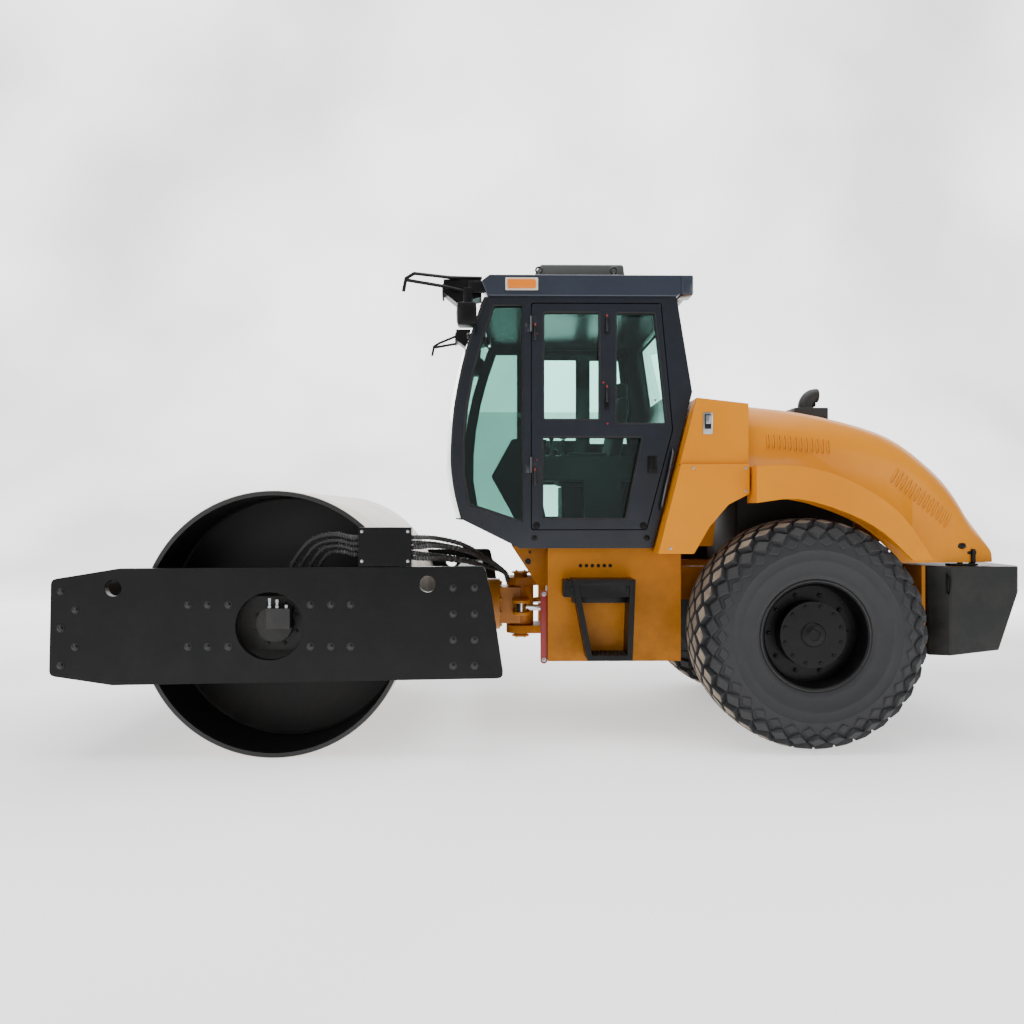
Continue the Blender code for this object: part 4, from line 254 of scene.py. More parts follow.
def side_studs(shape, places, side, y, radius, height, sides=12):
    """Bolts on an upright side face y metres out, at places along and up."""
    for x, z in places:
        stud(shape, (x, side * y, z), (0, side, 0), radius, height, sides)


def slab(shape, corner, opposite, edge=0.0):
    """A block between two opposite corners with rounded edges."""
    low = Vector([min(pair) for pair in zip(corner, opposite)])
    high = Vector([max(pair) for pair in zip(corner, opposite)])
    made = bmesh.ops.create_cube(shape, size=1, matrix=Matrix.LocRotScale((low + high) / 2, None, high - low))
    if edge:
        edges = list(dict.fromkeys(e for v in made["verts"] for e in v.link_edges))
        bmesh.ops.bevel(shape, geom=edges, offset=edge, segments=2, profile=0.5, affect="EDGES", material=-1)


satin_black = coated("satin_black_enamel", "#050506", "#08080a", "#5d564c", 0.36, 1.0, 0.05, gloss=0.2)
bolt_black = coated("blackened_bolt_steel", "#060607", "#0a0a0b", "#5d564c", 0.28, 1.0, 0.06, gloss=0.45)
DRUM_X, DRUM_Z, DRUM_RADIUS = -1.681, 0.79924, 0.80
PLATE_FACE = 1.15
# Plate bolts: distance behind the drum's middle, height
PLATE_BOLTS = [(x, z) for x in (-0.475, -0.36, -0.24, 0.24, 0.36, 0.475) for z in (0.680, 0.925)]
PLATE_BOLTS += [(x, z) for x in (1.076, 1.202) for z in (0.565, 0.717, 0.870, 1.023)]
PLATE_BOLTS += [(-1.214, 1.005), (-1.130, 0.897), (-1.217, 0.789), (-1.132, 0.680), (-1.217, 0.572)]
BOLT_RADIUS, BOLT_HEIGHT = 0.0165, 0.014
for word, side in SIDES:
    clad("frame_plate_" + word, satin_black, 0.004)
    shape = bmesh.new()
    places = [(DRUM_X + along, up) for along, up in PLATE_BOLTS]
    side_studs(shape, places, side, PLATE_FACE, BOLT_RADIUS, BOLT_HEIGHT)
    finished("plate_bolts_" + word, shape, bolt_black, "front_frame")
clad("front_beam", satin_black, 0.004)
clad("rear_beam", satin_black, 0.004)


# Drum: a rolled steel shell whose outside is ground bare by the soil, with a film of rust in its
# scratches; inside and on the heads it is sprayed black.
def rolled_steel():
    """Bare steel with fine scratches round the drum on its outside, black enamel within."""
    finish, tree, shader = new_finish("rolled_bare_steel")
    place = add(tree, "ShaderNodeTexCoord").outputs["Object"]
    centred = add(tree, "ShaderNodeMapping", {"Location": (-DRUM_X, 0, -DRUM_Z)},
                  {"Vector": place}).outputs["Vector"]
    flat = add(tree, "ShaderNodeVectorMath", {"operation": "MULTIPLY", 1: (1, 0, 1)},
               {0: centred}).outputs["Vector"]
    radius = add(tree, "ShaderNodeVectorMath", {"operation": "LENGTH"}, {0: flat}).outputs["Value"]
    outside = add(tree, "ShaderNodeMath", {"operation": "GREATER_THAN", 1: DRUM_RADIUS - 0.004},
                  {0: radius}).outputs[0]
    stretched = add(tree, "ShaderNodeMapping", {"Scale": (1.5, 110, 1.5)}, {"Vector": centred}).outputs["Vector"]
    lines = add(tree, "ShaderNodeTexNoise", {"Scale": 1.0, "Detail": 4.0, "Roughness": 0.7}, {"Vector": stretched})
    rust = add(tree, "ShaderNodeTexNoise", {"Scale": 2.6, "Detail": 7.0, "Roughness": 0.65}, {"Vector": centred})
    rusty = add(tree, "ShaderNodeMapRange", {"From Min": 0.46, "From Max": 0.72}, {"Value": rust.outputs["Fac"]})
    bright = add(tree, "ShaderNodeMix", {"data_type": "RGBA", 6: linear("#a89f93"), 7: linear("#c9c2b7")},
                 {0: lines.outputs["Fac"]})
    tinted = add(tree, "ShaderNodeMix", {"data_type": "RGBA", 7: linear("#9c8973")},
                 {0: rusty.outputs["Result"], 6: bright.outputs[2]})
    inside = add(tree, "ShaderNodeMix", {"data_type": "RGBA", 6: linear("#070708")},
                 {0: outside, 7: tinted.outputs[2]})
    tree.links.new(inside.outputs[2], shader.inputs["Base Color"])
    metal = add(tree, "ShaderNodeMath", {"operation": "MULTIPLY", 1: 0.75}, {0: outside})
    tree.links.new(metal.outputs[0], shader.inputs["Metallic"])
    rough = add(tree, "ShaderNodeMapRange", {"To Min": 0.34, "To Max": 0.55}, {"Value": lines.outputs["Fac"]})
    tree.links.new(rough.outputs["Result"], shader.inputs["Roughness"])
    bump = add(tree, "ShaderNodeBump", {"Strength": 0.25, "Distance": 0.0008}, {"Height": lines.outputs["Fac"]})
    tree.links.new(bump.outputs["Normal"], shader.inputs["Normal"])
    return finish


def lathed(shape, profile, centre, axis, steps):
    """Spins a row of (radius, along) points once round an axis through centre."""
    axis = Vector(axis).normalized()
    out = axis.orthogonal().normalized()
    verts = [shape.verts.new(Vector(centre) + axis * along + out * radius) for radius, along in profile]
    edges = [shape.edges.new(pair) for pair in zip(verts, verts[1:])]
    bmesh.ops.spin(shape, geom=verts + edges, cent=centre, axis=axis, angle=2 * math.pi, steps=steps,
                   use_merge=True)
    bmesh.ops.remove_doubles(shape, verts=shape.verts, dist=0.00001)
    bmesh.ops.recalc_face_normals(shape, faces=shape.faces)


HEAD_WELD = ((0.755, 0.652), (0.768, 0.652), (0.768, 0.665), (0.755, 0.652))
head_black = coated("drum_head_black", "#070707", "#0b0a09", "#5b4f42", 0.5, 1.2, 0.10, gloss=0.3)
clad("drum_shell", rolled_steel(), 0.003, 20)
clad("drum_core", head_black, 0.004)
shape = bmesh.new()
for side in (-1, 1):
    lathed(shape, [(radius, side * along) for radius, along in HEAD_WELD], (DRUM_X, 0, DRUM_Z), (0, 1, 0), 72)
finished("drum_head_welds", shape, head_black, "drum")


# Drum mounts: cast arms on rubber buffers carry the drum's bearings and the drive motor, whose
# plated hose fittings show in the plate's round window.
def bolt_ring(shape, centre, facing, reach, count, radius, height, first=0.5):
    """count hexagon bolts on a circle round centre, facing along one of the three axes."""
    across, up = [axis for axis in range(3) if not facing[axis]]
    for index in range(count):
        angle = (index + first) * 2 * math.pi / count
        spot = list(centre)
        spot[across] += reach * math.cos(angle)
        spot[up] += reach * math.sin(angle)
        stud(shape, spot, facing, radius, height, 6)


cast_black = coated("cast_iron_black", "#0d0d0d", "#171412", "#6b5d4d", 0.58, 1.3, 0.22, peel=0.006)
plated = coated("zinc_plated_steel", "#b9bcbe", "#8f9294", "#7d7468", 0.28, 1.0, 0.10, metallic=1.0, patch=0.05)
# Hose fittings: distance behind the drum's middle, height of the foot, length
FITTINGS = ((-0.015, 0.90, 0.060), (0.030, 0.90, 0.052), (0.085, 0.89, 0.030))
for word, side in SIDES:
    clad("drum_mount_" + word, cast_black, 0.004)
    shape = bmesh.new()
    for along, base, tall in FITTINGS:
        fitting = [(0, 0), (0.014, 0), (0.014, 0.014), (0.010, 0.016), (0.010, tall - 0.02), (0.013, tall - 0.018),
                   (0.013, tall), (0, tall)]
        lathed(shape, fitting, Vector((DRUM_X + along, side * 1.095, base)), (0, 0, 1), 12)
    finished("motor_fittings_" + word, shape, plated, "front_frame")
    shape = bmesh.new()
    bolt_ring(shape, (DRUM_X, side * 1.005, DRUM_Z), (0, side, 0), 0.13, 8, 0.011, 0.012)
    finished("motor_bolts_" + word, shape, cast_black, "front_frame")


# Hose cover and hydraulic hoses: a folded steel cover with corner screws on the left plate; the hoses
# are rubber with a spiral guard wound round them, and run side by side.
def swept(name, points, radius, finish, body, ring=3, cyclic=False, order=4):
    """A round bar along a smooth line through a row of points, as a mesh."""
    line = bpy.data.curves.new(name, "CURVE")
    line.dimensions = "3D"
    line.bevel_depth = radius
    line.bevel_resolution = ring
    line.resolution_u = 6
    line.use_fill_caps = not cyclic
    spline = line.splines.new("NURBS" if order > 2 else "POLY")
    spline.points.add(len(points) - 1)
    for point, spot in zip(spline.points, points):
        point.co = (*spot, 1)
    spline.use_cyclic_u = cyclic
    if order > 2:
        spline.order_u = order
        spline.use_endpoint_u = not cyclic
    holder = bpy.data.objects.new(name, line)
    bpy.context.scene.collection.objects.link(holder)
    mesh = bpy.data.meshes.new_from_object(holder.evaluated_get(bpy.context.evaluated_depsgraph_get()))
    bpy.data.objects.remove(holder)
    bpy.data.curves.remove(line)
    return dressed(name, mesh, finish, body, 50)


SPAN_POINTS = 24


def even(points, step):
    """Points at even distances along a smooth line through the given ones."""
    rows = [Vector(p) for p in points]
    rows = [rows[0] * 2 - rows[1]] + rows + [rows[-1] * 2 - rows[-2]]
    fine = []
    for a, b, c, d in zip(rows, rows[1:], rows[2:], rows[3:]):
        for index in range(SPAN_POINTS):
            t = index / SPAN_POINTS
            fine.append((b * 2 + (c - a) * t + (a * 2 - b * 5 + c * 4 - d) * t ** 2
                         + (b * 3 - a - c * 3 + d) * t ** 3) / 2)
    fine.append(rows[-2])
    kept, walked = [fine[0]], 0.0
    for a, b in zip(fine, fine[1:]):
        walked += (b - a).length
        if walked >= step:
            kept.append(b)
            walked = 0.0
    return kept + [fine[-1]]


def wound(points, radius, pitch):
    """The line of a guard wound round a hose, one turn to each pitch."""
    line, angle = [], 0.0
    normal = (points[1] - points[0]).orthogonal().normalized()
    for a, b in zip(points, points[1:]):
        along = (b - a).normalized()
        normal = (normal - along * normal.dot(along)).normalized()
        side_way = along.cross(normal)
        line.append(a + (normal * math.cos(angle) + side_way * math.sin(angle)) * radius)
        angle += 2 * math.pi * (b - a).length / pitch
    return line


hose_rubber = coated("hose_rubber", "#131313", "#1d1c1b", "#6a6258", 0.62, 1.6, 0.35, peel=0.004)
guard_plastic = coated("spiral_guard_plastic", "#303032", "#3c3c3d", "#7a7165", 0.32, 1.6, 0.35, peel=0.004)
HOSE_RADIUS, GUARD_RADIUS, GUARD_PITCH = 0.0135, 0.0036, 0.015
HOSE_STEP, TURN_POINTS = 0.03, 7


def guarded_hose(name, route, body):
    """One hose with its spiral guard."""
    points = even(route, HOSE_STEP)
    hose = swept(name, points, HOSE_RADIUS, hose_rubber, body, 3)
    coil = wound(even(route, GUARD_PITCH / TURN_POINTS), HOSE_RADIUS + GUARD_RADIUS * 0.4, GUARD_PITCH)
    guard = swept(name + "_guard", coil, GUARD_RADIUS, guard_plastic, body, 0, False, 2)
    return hose, guard


clad("hose_box", satin_black, 0.003)
box_low, box_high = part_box("hose_box")
BOX_BASE = 1.1505
shape = bmesh.new()
for x in (box_low.x + 0.02, box_high.x - 0.02):
    for z in (BOX_BASE + 0.03, box_high.z - 0.025):
        stud(shape, (x, box_low.y, z), (0, -1, 0), 0.007, 0.005, 8)
finished("hose_box_screws", shape, plated, "front_frame")
# The hoses' routes, as steps from where they leave the cover; they follow the CAD's hose bundles
HOSE_GAP, HOSE_Y, HOSE_Z = 0.0008, -1.115, 1.265
HOSE_START = Vector((box_low.x - HOSE_GAP, HOSE_Y, HOSE_Z))
FRONT_ROUTE = ((0, 0, 0.01), (-0.05, 0, 0.01), (-0.16, 0.01, 0.03), (-0.30, 0.05, 0.0), (-0.40, 0.08, -0.11),
               (-0.44, 0.08, -0.21), (-0.455, 0.08, -0.31))
front_hoses = []
for index in range(4):
    reach, lift = 1.0 - 0.11 * index, 0.045 - 0.034 * index
    route = [HOSE_START + Vector((x * reach, y + 0.008 * index, z + lift * (1 - max(0.0, -x - 0.16) * 1.6)))
             for x, y, z in FRONT_ROUTE]
    front_hoses += guarded_hose("drum_hose_%d" % index, route, "front_frame")
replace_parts(front_hoses[0], "hoses_drum")
REAR_START = Vector((box_high.x + HOSE_GAP, HOSE_Y, HOSE_Z))
REAR_ROUTE = ((0, 0, 0), (0.05, 0, 0), (0.13, 0.04, -0.002), (0.25, 0.275, -0.030), (0.33, 0.595, -0.075),
              (0.40, 0.800, -0.125), (0.48, 0.905, -0.170), (0.555, 0.955, -0.225), (0.575, 0.965, -0.285))
REAR_REACH = REAR_ROUTE[-1][0]
# How far each joint hose rises and sways at its middle
HOSE_BOWS = ((0.0, 0.0), (-0.012, 0.045), (0.014, -0.040), (-0.030, 0.030), (-0.012, -0.055))
rear_hoses = []
for index, (rise, sway) in enumerate(HOSE_BOWS):
    lift, spread = 0.055 - 0.030 * index, 0.034 * (index - 2)
    route = []
    for x, y, z in REAR_ROUTE:
        share = x / REAR_REACH
        bow = math.sin(math.pi * share)
        route.append(REAR_START + Vector((x, y + spread * share ** 2 + sway * bow,
                                          z + lift * (1 - share ** 2) + rise * bow)))
    for piece in guarded_hose("joint_hose_%d" % index, route, None):
        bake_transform(piece)
        rear_hoses.append(piece)
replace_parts(rear_hoses[0], "hoses_front")

# Centre joint: welded and cast pieces sprayed in the machine's ochre yellow, oily where they turn; a
# ring of bolts holds the swivel's cover, and two steel cylinders turn the front frame.
joint_yellow = coated("ochre_enamel", "#cf8412", "#b06c0c", "#4f3a20", 0.36, 1.2, 0.40, patch=0.25)
PIVOT_X, JOINT_Z = -0.181, 0.80
clad("yoke", joint_yellow, 0.004)
COVER_FACE, COVER_RING = PIVOT_X - 0.15, 0.155
FLANGE_FACE, FLANGE_RING = -0.4465, 0.212
CAP_THICK, CAP_RING, FORK_HALF = 0.012, 0.042, 0.225
PIN_CAP = [(0, CAP_THICK), (0.060, CAP_THICK), (0.064, 0.008), (0.064, 0.0), (0, 0.0)]
shape = bmesh.new()
bolt_ring(shape, (COVER_FACE, 0, JOINT_Z), (1, 0, 0), COVER_RING, 10, 0.012, 0.016)
finished("yoke_bolts", shape, joint_yellow, "yoke")
shape = bmesh.new()
bolt_ring(shape, (FLANGE_FACE, 0, JOINT_Z), (1, 0, 0), FLANGE_RING, 12, 0.011, 0.014)
finished("flange_bolts", shape, satin_black, "front_frame")
shape = bmesh.new()
for facing in (1, -1):
    level = JOINT_Z + facing * FORK_HALF
    lathed(shape, PIN_CAP, (PIVOT_X, 0, level), (0, 0, facing), 24)
    bolt_ring(shape, (PIVOT_X, 0, level + facing * CAP_THICK), (0, 0, facing), CAP_RING, 4, 0.008, 0.008)
finished("pin_caps", shape, joint_yellow, "rear_frame")
chrome_rod = coated("hard_chrome", "#d8dadc", "#c3c6c8", "#8a8378", 0.10, 1.0, 0.10, metallic=1.0)
for word, side in SIDES:
    clad("cylinder_barrel_" + word, satin_black, 0.003)
    clad("cylinder_rod_" + word, chrome_rod, 0.002)

# Lock bar: the red link that pins the joint for transport, a flat bar with round ends, parked upright
# on the chassis corner with a plated bolt in each end.
signal_red = coated("signal_red_enamel", "#8e1518", "#741214", "#5a4a3a", 0.38, 1.2, 0.35)
bar_low, bar_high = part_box("lock_bar")
BAR_WIDTH, BAR_THICK, BAR_FOOT, BAR_HEAD = 0.046, 0.016, 0.51, 0.945
bar_x = bar_high.x - BAR_WIDTH / 2
shape = bmesh.new()
slab(shape, (bar_x - BAR_WIDTH / 2, bar_low.y, BAR_FOOT),
     (bar_x + BAR_WIDTH / 2, bar_low.y + BAR_THICK, BAR_HEAD), 0.005)
for z in (BAR_FOOT + 0.004, BAR_HEAD - 0.004):
    lathed(shape, [(0, 0), (BAR_WIDTH / 2, 0), (BAR_WIDTH / 2, BAR_THICK - 0.001), (0, BAR_THICK - 0.001)],
           (bar_x, bar_low.y + BAR_THICK - 0.0005, z), (0, -1, 0), 20)
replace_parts(finished("lock_bar_link", shape, signal_red, "rear_frame"), "lock_bar")
shape = bmesh.new()
for z in (BAR_FOOT + 0.006, BAR_HEAD - 0.006):
    stud(shape, (bar_x, bar_low.y, z), (0, -1, 0), 0.010, 0.009, 12)
finished("lock_bar_bolts", shape, plated, "rear_frame")


# Chassis: a welded steel box in golden yellow, painted darker than the covers as shade under the cab, under a
# brown road film that is painted shade low down as well, with rubber plugs in its nose, a row of drilled holes
# under the cab drawn as discs of painted shadow and bolted black steps with punched treads on both sides, each with
# a black block of painted shade under its top tread.
def surface_of(node):
    """The node's faces, to find where a fitting meets them."""
    mesh = NODES[node].data
    return BVHTree.FromPolygons([v.co for v in mesh.vertices], [tuple(p.vertices) for p in mesh.polygons])


# Painted shade: a darker copy of the golden yellow, as the chassis lies in shadow under the cab; its dark brown
# film low down is road grime and painted shade.
golden_under_painted_shade = coated("golden_yellow_painted_shade_and_road_film", "#b36d09", "#9f5f07", "#4a300d", 0.38, 1.35, 0.65,
                       patch=0.45, gloss=0.2)
clad("chassis", golden_under_painted_shade, 0.004)
nose = surface_of("chassis")
# Plugs in the nose: place along, height, radius
NOSE_PLUGS = ((-0.141, 1.135, 0.020), (-0.128, 1.198, 0.009))
for word, side in SIDES:
    shape = bmesh.new()
    for x, z, radius in NOSE_PLUGS:
        spot = nose.ray_cast(Vector((x, side * 1.0, z)), Vector((0, -side, 0)))[0]
        plug = [(0, 0.006), (radius * 0.5, 0.006), (radius * 0.55, 0.010), (radius * 0.95, 0.008), (radius, 0),
                (0, 0)]
        lathed(shape, plug, spot, (0, side, 0), 20)
    finished("nose_plugs_" + word, shape, hose_rubber, "rear_frame")

# Painted shadow: a dull near-black finish for flat inserts that stand for the shade inside holes, slots, the latch
# recess and the exhaust mouth.
painted_hole_shadow = coated("drilled_hole_shadow", "#080706", "#0c0a08", "#2b241b", 0.9, 1.0, 0.2)
RAIL_HOLES = [(0.188 + index * 0.0384, 1.125) for index in range(6)]
RAIL_FACE, STEP_FACE = 0.7202, 0.886
GRIP_ROWS, ROW_APART = 4, 0.04
for word, side in SIDES:
    shape = bmesh.new()
    # Painted shadow: the drilled holes are flat near-black discs on the rail's face.
    side_studs(shape, RAIL_HOLES, side, RAIL_FACE, 0.0085, 0.003)
    finished("rail_hole_shadows_" + word, shape, painted_hole_shadow, "rear_frame")
    clad("step_" + word, satin_black, 0.003)
    shape = bmesh.new()
    low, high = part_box("step_" + word)
    places = [(x, high.z - 0.055) for x in (low.x + 0.05, high.x - 0.05)]
    side_studs(shape, places, side, STEP_FACE, 0.010, 0.009, 6)
    # Painted shade: a satin black block under the top tread, standing for the shade beneath it.
    slab(shape, (low.x + 0.06, side * 0.735, high.z - 0.155), (high.x - 0.03, side * 0.80, high.z - 0.08), 0.003)
    # Punched studs of the two treads: first place along, spacing, count, innermost row, height
    for first, apart, count, inner, level in ((0.235, 0.0275, 9, 0.745, low.z + 0.0378),
                                              (low.x + 0.03, 0.0295, 14, 0.75, high.z - 0.0063)):
        for index in range(count):
            for row in range(GRIP_ROWS):
                spot = (first + index * apart, side * (inner + row * ROW_APART), level)
                bmesh.ops.create_cone(shape, cap_ends=True, segments=6, radius1=0.008, radius2=0.005, depth=0.006,
                                      matrix=Matrix.Translation(spot))
    finished("step_grip_and_shade_block_" + word, shape, satin_black, "rear_frame")
clad("rear_axle", cast_black, 0.004)
clad("engine_block", cast_black, 0.01)


# Wheels: pressed steel rims and planetary hubs sprayed black, with two rings of bolts, and wide low
# pressure tyres with diamond-shaped lugs whose faces are brown with dried soil.
def turned(name, profile, centre, axis, steps, finish, body):
    """One piece spun round an axis through centre."""
    shape = bmesh.new()
    lathed(shape, profile, centre, axis, steps)
    return finished(name, shape, finish, body)


def tyre_rubber():
    """Moulded rubber: black in the grooves and on the wall, dusty brown on the lugs' worn faces."""
    finish, tree, shader = new_finish("moulded_tyre_rubber")
    place = add(tree, "ShaderNodeTexCoord").outputs["Object"]
    centred = add(tree, "ShaderNodeMapping", {"Location": (-AXLE_X, 0, -WHEEL_Z)},
                  {"Vector": place}).outputs["Vector"]
    flat = add(tree, "ShaderNodeVectorMath", {"operation": "MULTIPLY", 1: (1, 0, 1)},
               {0: centred}).outputs["Vector"]
    radius = add(tree, "ShaderNodeVectorMath", {"operation": "LENGTH"}, {0: flat}).outputs["Value"]
    outward = add(tree, "ShaderNodeVectorMath", {"operation": "NORMALIZE"}, {0: flat}).outputs["Vector"]
    facing = add(tree, "ShaderNodeTexCoord").outputs["Normal"]
    level = add(tree, "ShaderNodeVectorMath", {"operation": "DOT_PRODUCT"},
                {0: outward, 1: facing}).outputs["Value"]
    top = add(tree, "ShaderNodeMapRange", {"From Min": 0.72, "From Max": 0.92}, {"Value": level}).outputs["Result"]
    raised = add(tree, "ShaderNodeMapRange", {"From Min": 0.679, "From Max": 0.693},
                 {"Value": radius}).outputs["Result"]
    worn = add(tree, "ShaderNodeMath", {"operation": "MULTIPLY"}, {0: top, 1: raised}).outputs[0]
    dirt = add(tree, "ShaderNodeTexNoise", {"Scale": 9.0, "Detail": 8.0, "Roughness": 0.7}, {"Vector": centred})
    caked = add(tree, "ShaderNodeMapRange", {"From Min": 0.36, "From Max": 0.56, "To Min": 0.55},
                {"Value": dirt.outputs["Fac"]}).outputs["Result"]
    cover = add(tree, "ShaderNodeMath", {"operation": "MULTIPLY"}, {0: worn, 1: caked}).outputs[0]
    film = add(tree, "ShaderNodeMix", {"data_type": "RGBA", 6: linear("#0e0f10"), 7: linear("#232326")},
               {0: dirt.outputs["Fac"]})
    tone = add(tree, "ShaderNodeMix", {"data_type": "RGBA", 7: linear("#8b7e6e")}, {0: cover, 6: film.outputs[2]})
    tree.links.new(tone.outputs[2], shader.inputs["Base Color"])
    rough = add(tree, "ShaderNodeMapRange", {"To Min": 0.62, "To Max": 0.92}, {"Value": cover})
    tree.links.new(rough.outputs["Result"], shader.inputs["Roughness"])
    grain = add(tree, "ShaderNodeTexNoise", {"Scale": 130.0, "Detail": 3.0}, {"Vector": place})
    bump = add(tree, "ShaderNodeBump", {"Strength": 0.35, "Distance": 0.0015}, {"Height": grain.outputs["Fac"]})
    tree.links.new(bump.outputs["Normal"], shader.inputs["Normal"])
    return finish


AXLE_X, WHEEL_Z, WHEEL_Y = 1.586, 0.71846, 0.81
# Half of the tyre's section, from the bead to the tread's middle: radius, distance from the middle
WALL_HALF = ((0.336, 0.2135), (0.348, 0.232), (0.362, 0.236), (0.372, 0.240), (0.380, 0.238), (0.450, 0.256),
             (0.458, 0.260), (0.466, 0.258), (0.515, 0.261), (0.521, 0.2640), (0.527, 0.260), (0.585, 0.252),
             (0.626, 0.234), (0.654, 0.206), (0.667, 0.170), (0.675, 0.100), (0.678, 0.0))
LUGS_ROUND = 34
LUG_SINK, LUG_TAPER, LUG_EDGE = 0.002, 0.86, 0.004
# Rows of lugs: distance from the tyre's middle, radius of the foot, lean, half length, half width, height
LUG_ROWS = ((0.0, 0.675, 0.0, 0.070, 0.060, 0.040), (0.090, 0.672, 0.06, 0.070, 0.060, 0.040),
            (0.174, 0.660, 0.28, 0.068, 0.056, 0.040), (0.226, 0.624, 0.85, 0.062, 0.046, 0.030),
            (0.247, 0.578, 1.30, 0.054, 0.036, 0.012))
FLANGE_RADIUS, FLANGE_OUT, FLANGE_ROUND = 0.334, 0.2235, 0.008
HUB_FACE, DISC_FACE = 0.185, 0.090
HUB_CAP = [(0, 0.022), (0.030, 0.022), (0.034, 0.018), (0.040, 0.014), (0.068, 0.012), (0.074, 0.006), (0.074, 0),
           (0, 0)]
rubber = tyre_rubber()
for word, side in SIDES:
    centre = Vector((AXLE_X, side * WHEEL_Y, WHEEL_Z))
    shape = bmesh.new()
    profile = list(WALL_HALF) + [(radius, -out) for radius, out in WALL_HALF[-2::-1]]
    lathed(shape, profile + [profile[0]], centre, (0, 1, 0), 96)
    body = "wheel_" + word
    carcass = finished("tyre_carcass_" + word, shape, rubber, body, 60)
    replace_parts(carcass, "tyre_" + word)
    shape = bmesh.new()
    for row, (off, foot, lean, length, width, tall) in enumerate(LUG_ROWS):
        for end in ((1,) if off == 0 else (-1, 1)):
            for index in range(LUGS_ROUND):
                angle = 2 * math.pi * (index + 0.5 * (row % 2)) / LUGS_ROUND
                upright = (Matrix.Translation(centre) @ Matrix.Rotation(angle, 4, "Y")
                           @ Matrix.Translation((foot, end * off, 0)) @ Matrix.Rotation(end * lean, 4, "Z")
                           @ Matrix.Translation((tall / 2 - LUG_SINK, 0, 0)) @ Matrix.Rotation(math.pi / 2, 4, "Y")
                           @ Matrix.Diagonal((length, width, 1, 1)))
                lug = bmesh.ops.create_cone(shape, cap_ends=True, segments=4, radius1=1.0, radius2=LUG_TAPER,
                                            depth=tall, matrix=upright)
                edges = list(dict.fromkeys(e for v in lug["verts"] for e in v.link_edges))
                bmesh.ops.bevel(shape, geom=edges, offset=LUG_EDGE, segments=1, profile=0.5, affect="EDGES",
                                material=-1)
    bmesh.ops.recalc_face_normals(shape, faces=shape.faces)
    finished("tyre_lugs_" + word, shape, rubber, body, 25)

    clad("wheel_" + word, satin_black, 0.002)
    shape = bmesh.new()
    for end in (-1, 1):
        turns = [step * math.pi / 4 for step in range(9)]
        ring = [(FLANGE_RADIUS + FLANGE_ROUND * math.cos(turn), end * FLANGE_OUT + FLANGE_ROUND * math.sin(turn))
                for turn in turns]
        lathed(shape, ring, centre, (0, 1, 0), 72)
    finished("rim_flanges_" + word, shape, bolt_black, body, 60)
    shape = bmesh.new()
    hub_face = centre + Vector((0, side * HUB_FACE, 0))
    bolt_ring(shape, hub_face, (0, side, 0), 0.178, 12, 0.011, 0.010)
    bolt_ring(shape, centre + Vector((0, side * DISC_FACE, 0)), (0, side, 0), 0.245, 10, 0.014, 0.016, 0.0)
    finished("hub_bolts_" + word, shape, satin_black, body)
    turned("hub_cap_" + word, HUB_CAP, hub_face, (0, side, 0), 32, satin_black, body)


# Rear weight: a cast block in charcoal grey, with a handle on a small plate on each side, round red and
# amber tail lamps in black bezels on its back, and a plated pin through its towing jaw.
def blocked(name, corner, opposite, edge, finish, body):
    """One piece that is a block with rounded edges."""
    shape = bmesh.new()
    slab(shape, corner, opposite, edge)
    return finished(name, shape, finish, body)


charcoal = coated("charcoal_enamel", "#101112", "#161717", "#756b5c", 0.36, 1.5, 0.12, peel=0.005, gloss=0.3)
red_lens = coated("red_lens_plastic", "#8c0d10", "#7b0b0e", "#6d5a4a", 0.16, 1.0, 0.1)
amber_lens = coated("amber_lens_plastic", "#e0780a", "#d46f08", "#8a6a4a", 0.14, 1.0, 0.1)
clad("counterweight", charcoal, 0.010)
weight_back = surface_of("counterweight")
WEIGHT_FACE, HANDLE_X, LAMP_LEVEL, WELL_BEHIND = 0.90, 2.467, 0.96, 3.4
FORWARDS = Vector((-1, 0, 0))
# The handle's line: distance out from the weight's side, height
HANDLE_LINE = ((-0.004, 1.08), (0.016, 1.08), (0.030, 1.065), (0.030, 0.975), (0.016, 0.96), (-0.004, 0.96))
TAIL_LENS = [(0, 0.020), (0.030, 0.018), (0.046, 0.012), (0.049, 0.0), (0, 0)]
TAIL_BEZEL = [(0.049, 0), (0.0495, 0.013), (0.055, 0.014), (0.058, 0.010), (0.059, 0), (0.049, 0)]
TOWING_PIN = [(0, 0.015), (0.018, 0.015), (0.024, 0.010), (0.024, 0), (0.014, 0), (0.014, -0.128), (0.010, -0.134),
              (0, -0.134)]
for word, side in SIDES:
    y = side * WEIGHT_FACE
    swept("weight_handle_" + word, [(HANDLE_X, y + side * out, z) for out, z in HANDLE_LINE], 0.007, satin_black,
          "rear_frame")
    blocked("handle_plate_" + word, (HANDLE_X - 0.015, y, 0.945), (HANDLE_X + 0.015, y + side * 0.006, 1.095),
            0.002, satin_black, "rear_frame")
    for offset, lens in ((0.55, red_lens), (0.69, amber_lens)):
        spot, normal = weight_back.ray_cast(Vector((WELL_BEHIND, side * offset, LAMP_LEVEL)), FORWARDS)[:2]
        turned("tail_lens_%d_%s" % (offset * 100, word), TAIL_LENS, spot, normal, 28, lens, "rear_frame")
        turned("tail_bezel_%d_%s" % (offset * 100, word), TAIL_BEZEL, spot, normal, 28, satin_black, "rear_frame")
turned("towing_pin", TOWING_PIN, (2.925, 0, 0.846), (0, 0, 1), 20, plated, "rear_frame")

# Covers behind the cab: folded steel panels in golden yellow enamel; the upper one has a recessed paddle
# latch, the lower one small plated screws in its corners.
# Golden yellow enamel; its dark brown film, thickest low down and fading out by 1.35 m, is road grime and painted
# shade.
golden = coated("golden_yellow_enamel", "#d28204", "#c87702", "#543509", 0.32, 1.35, 0.85, patch=0.9, gloss=0.2)
clad("upper_housing", golden, 0.006)
COVER_SIDE, PANEL_SIDE = 0.92, 0.95
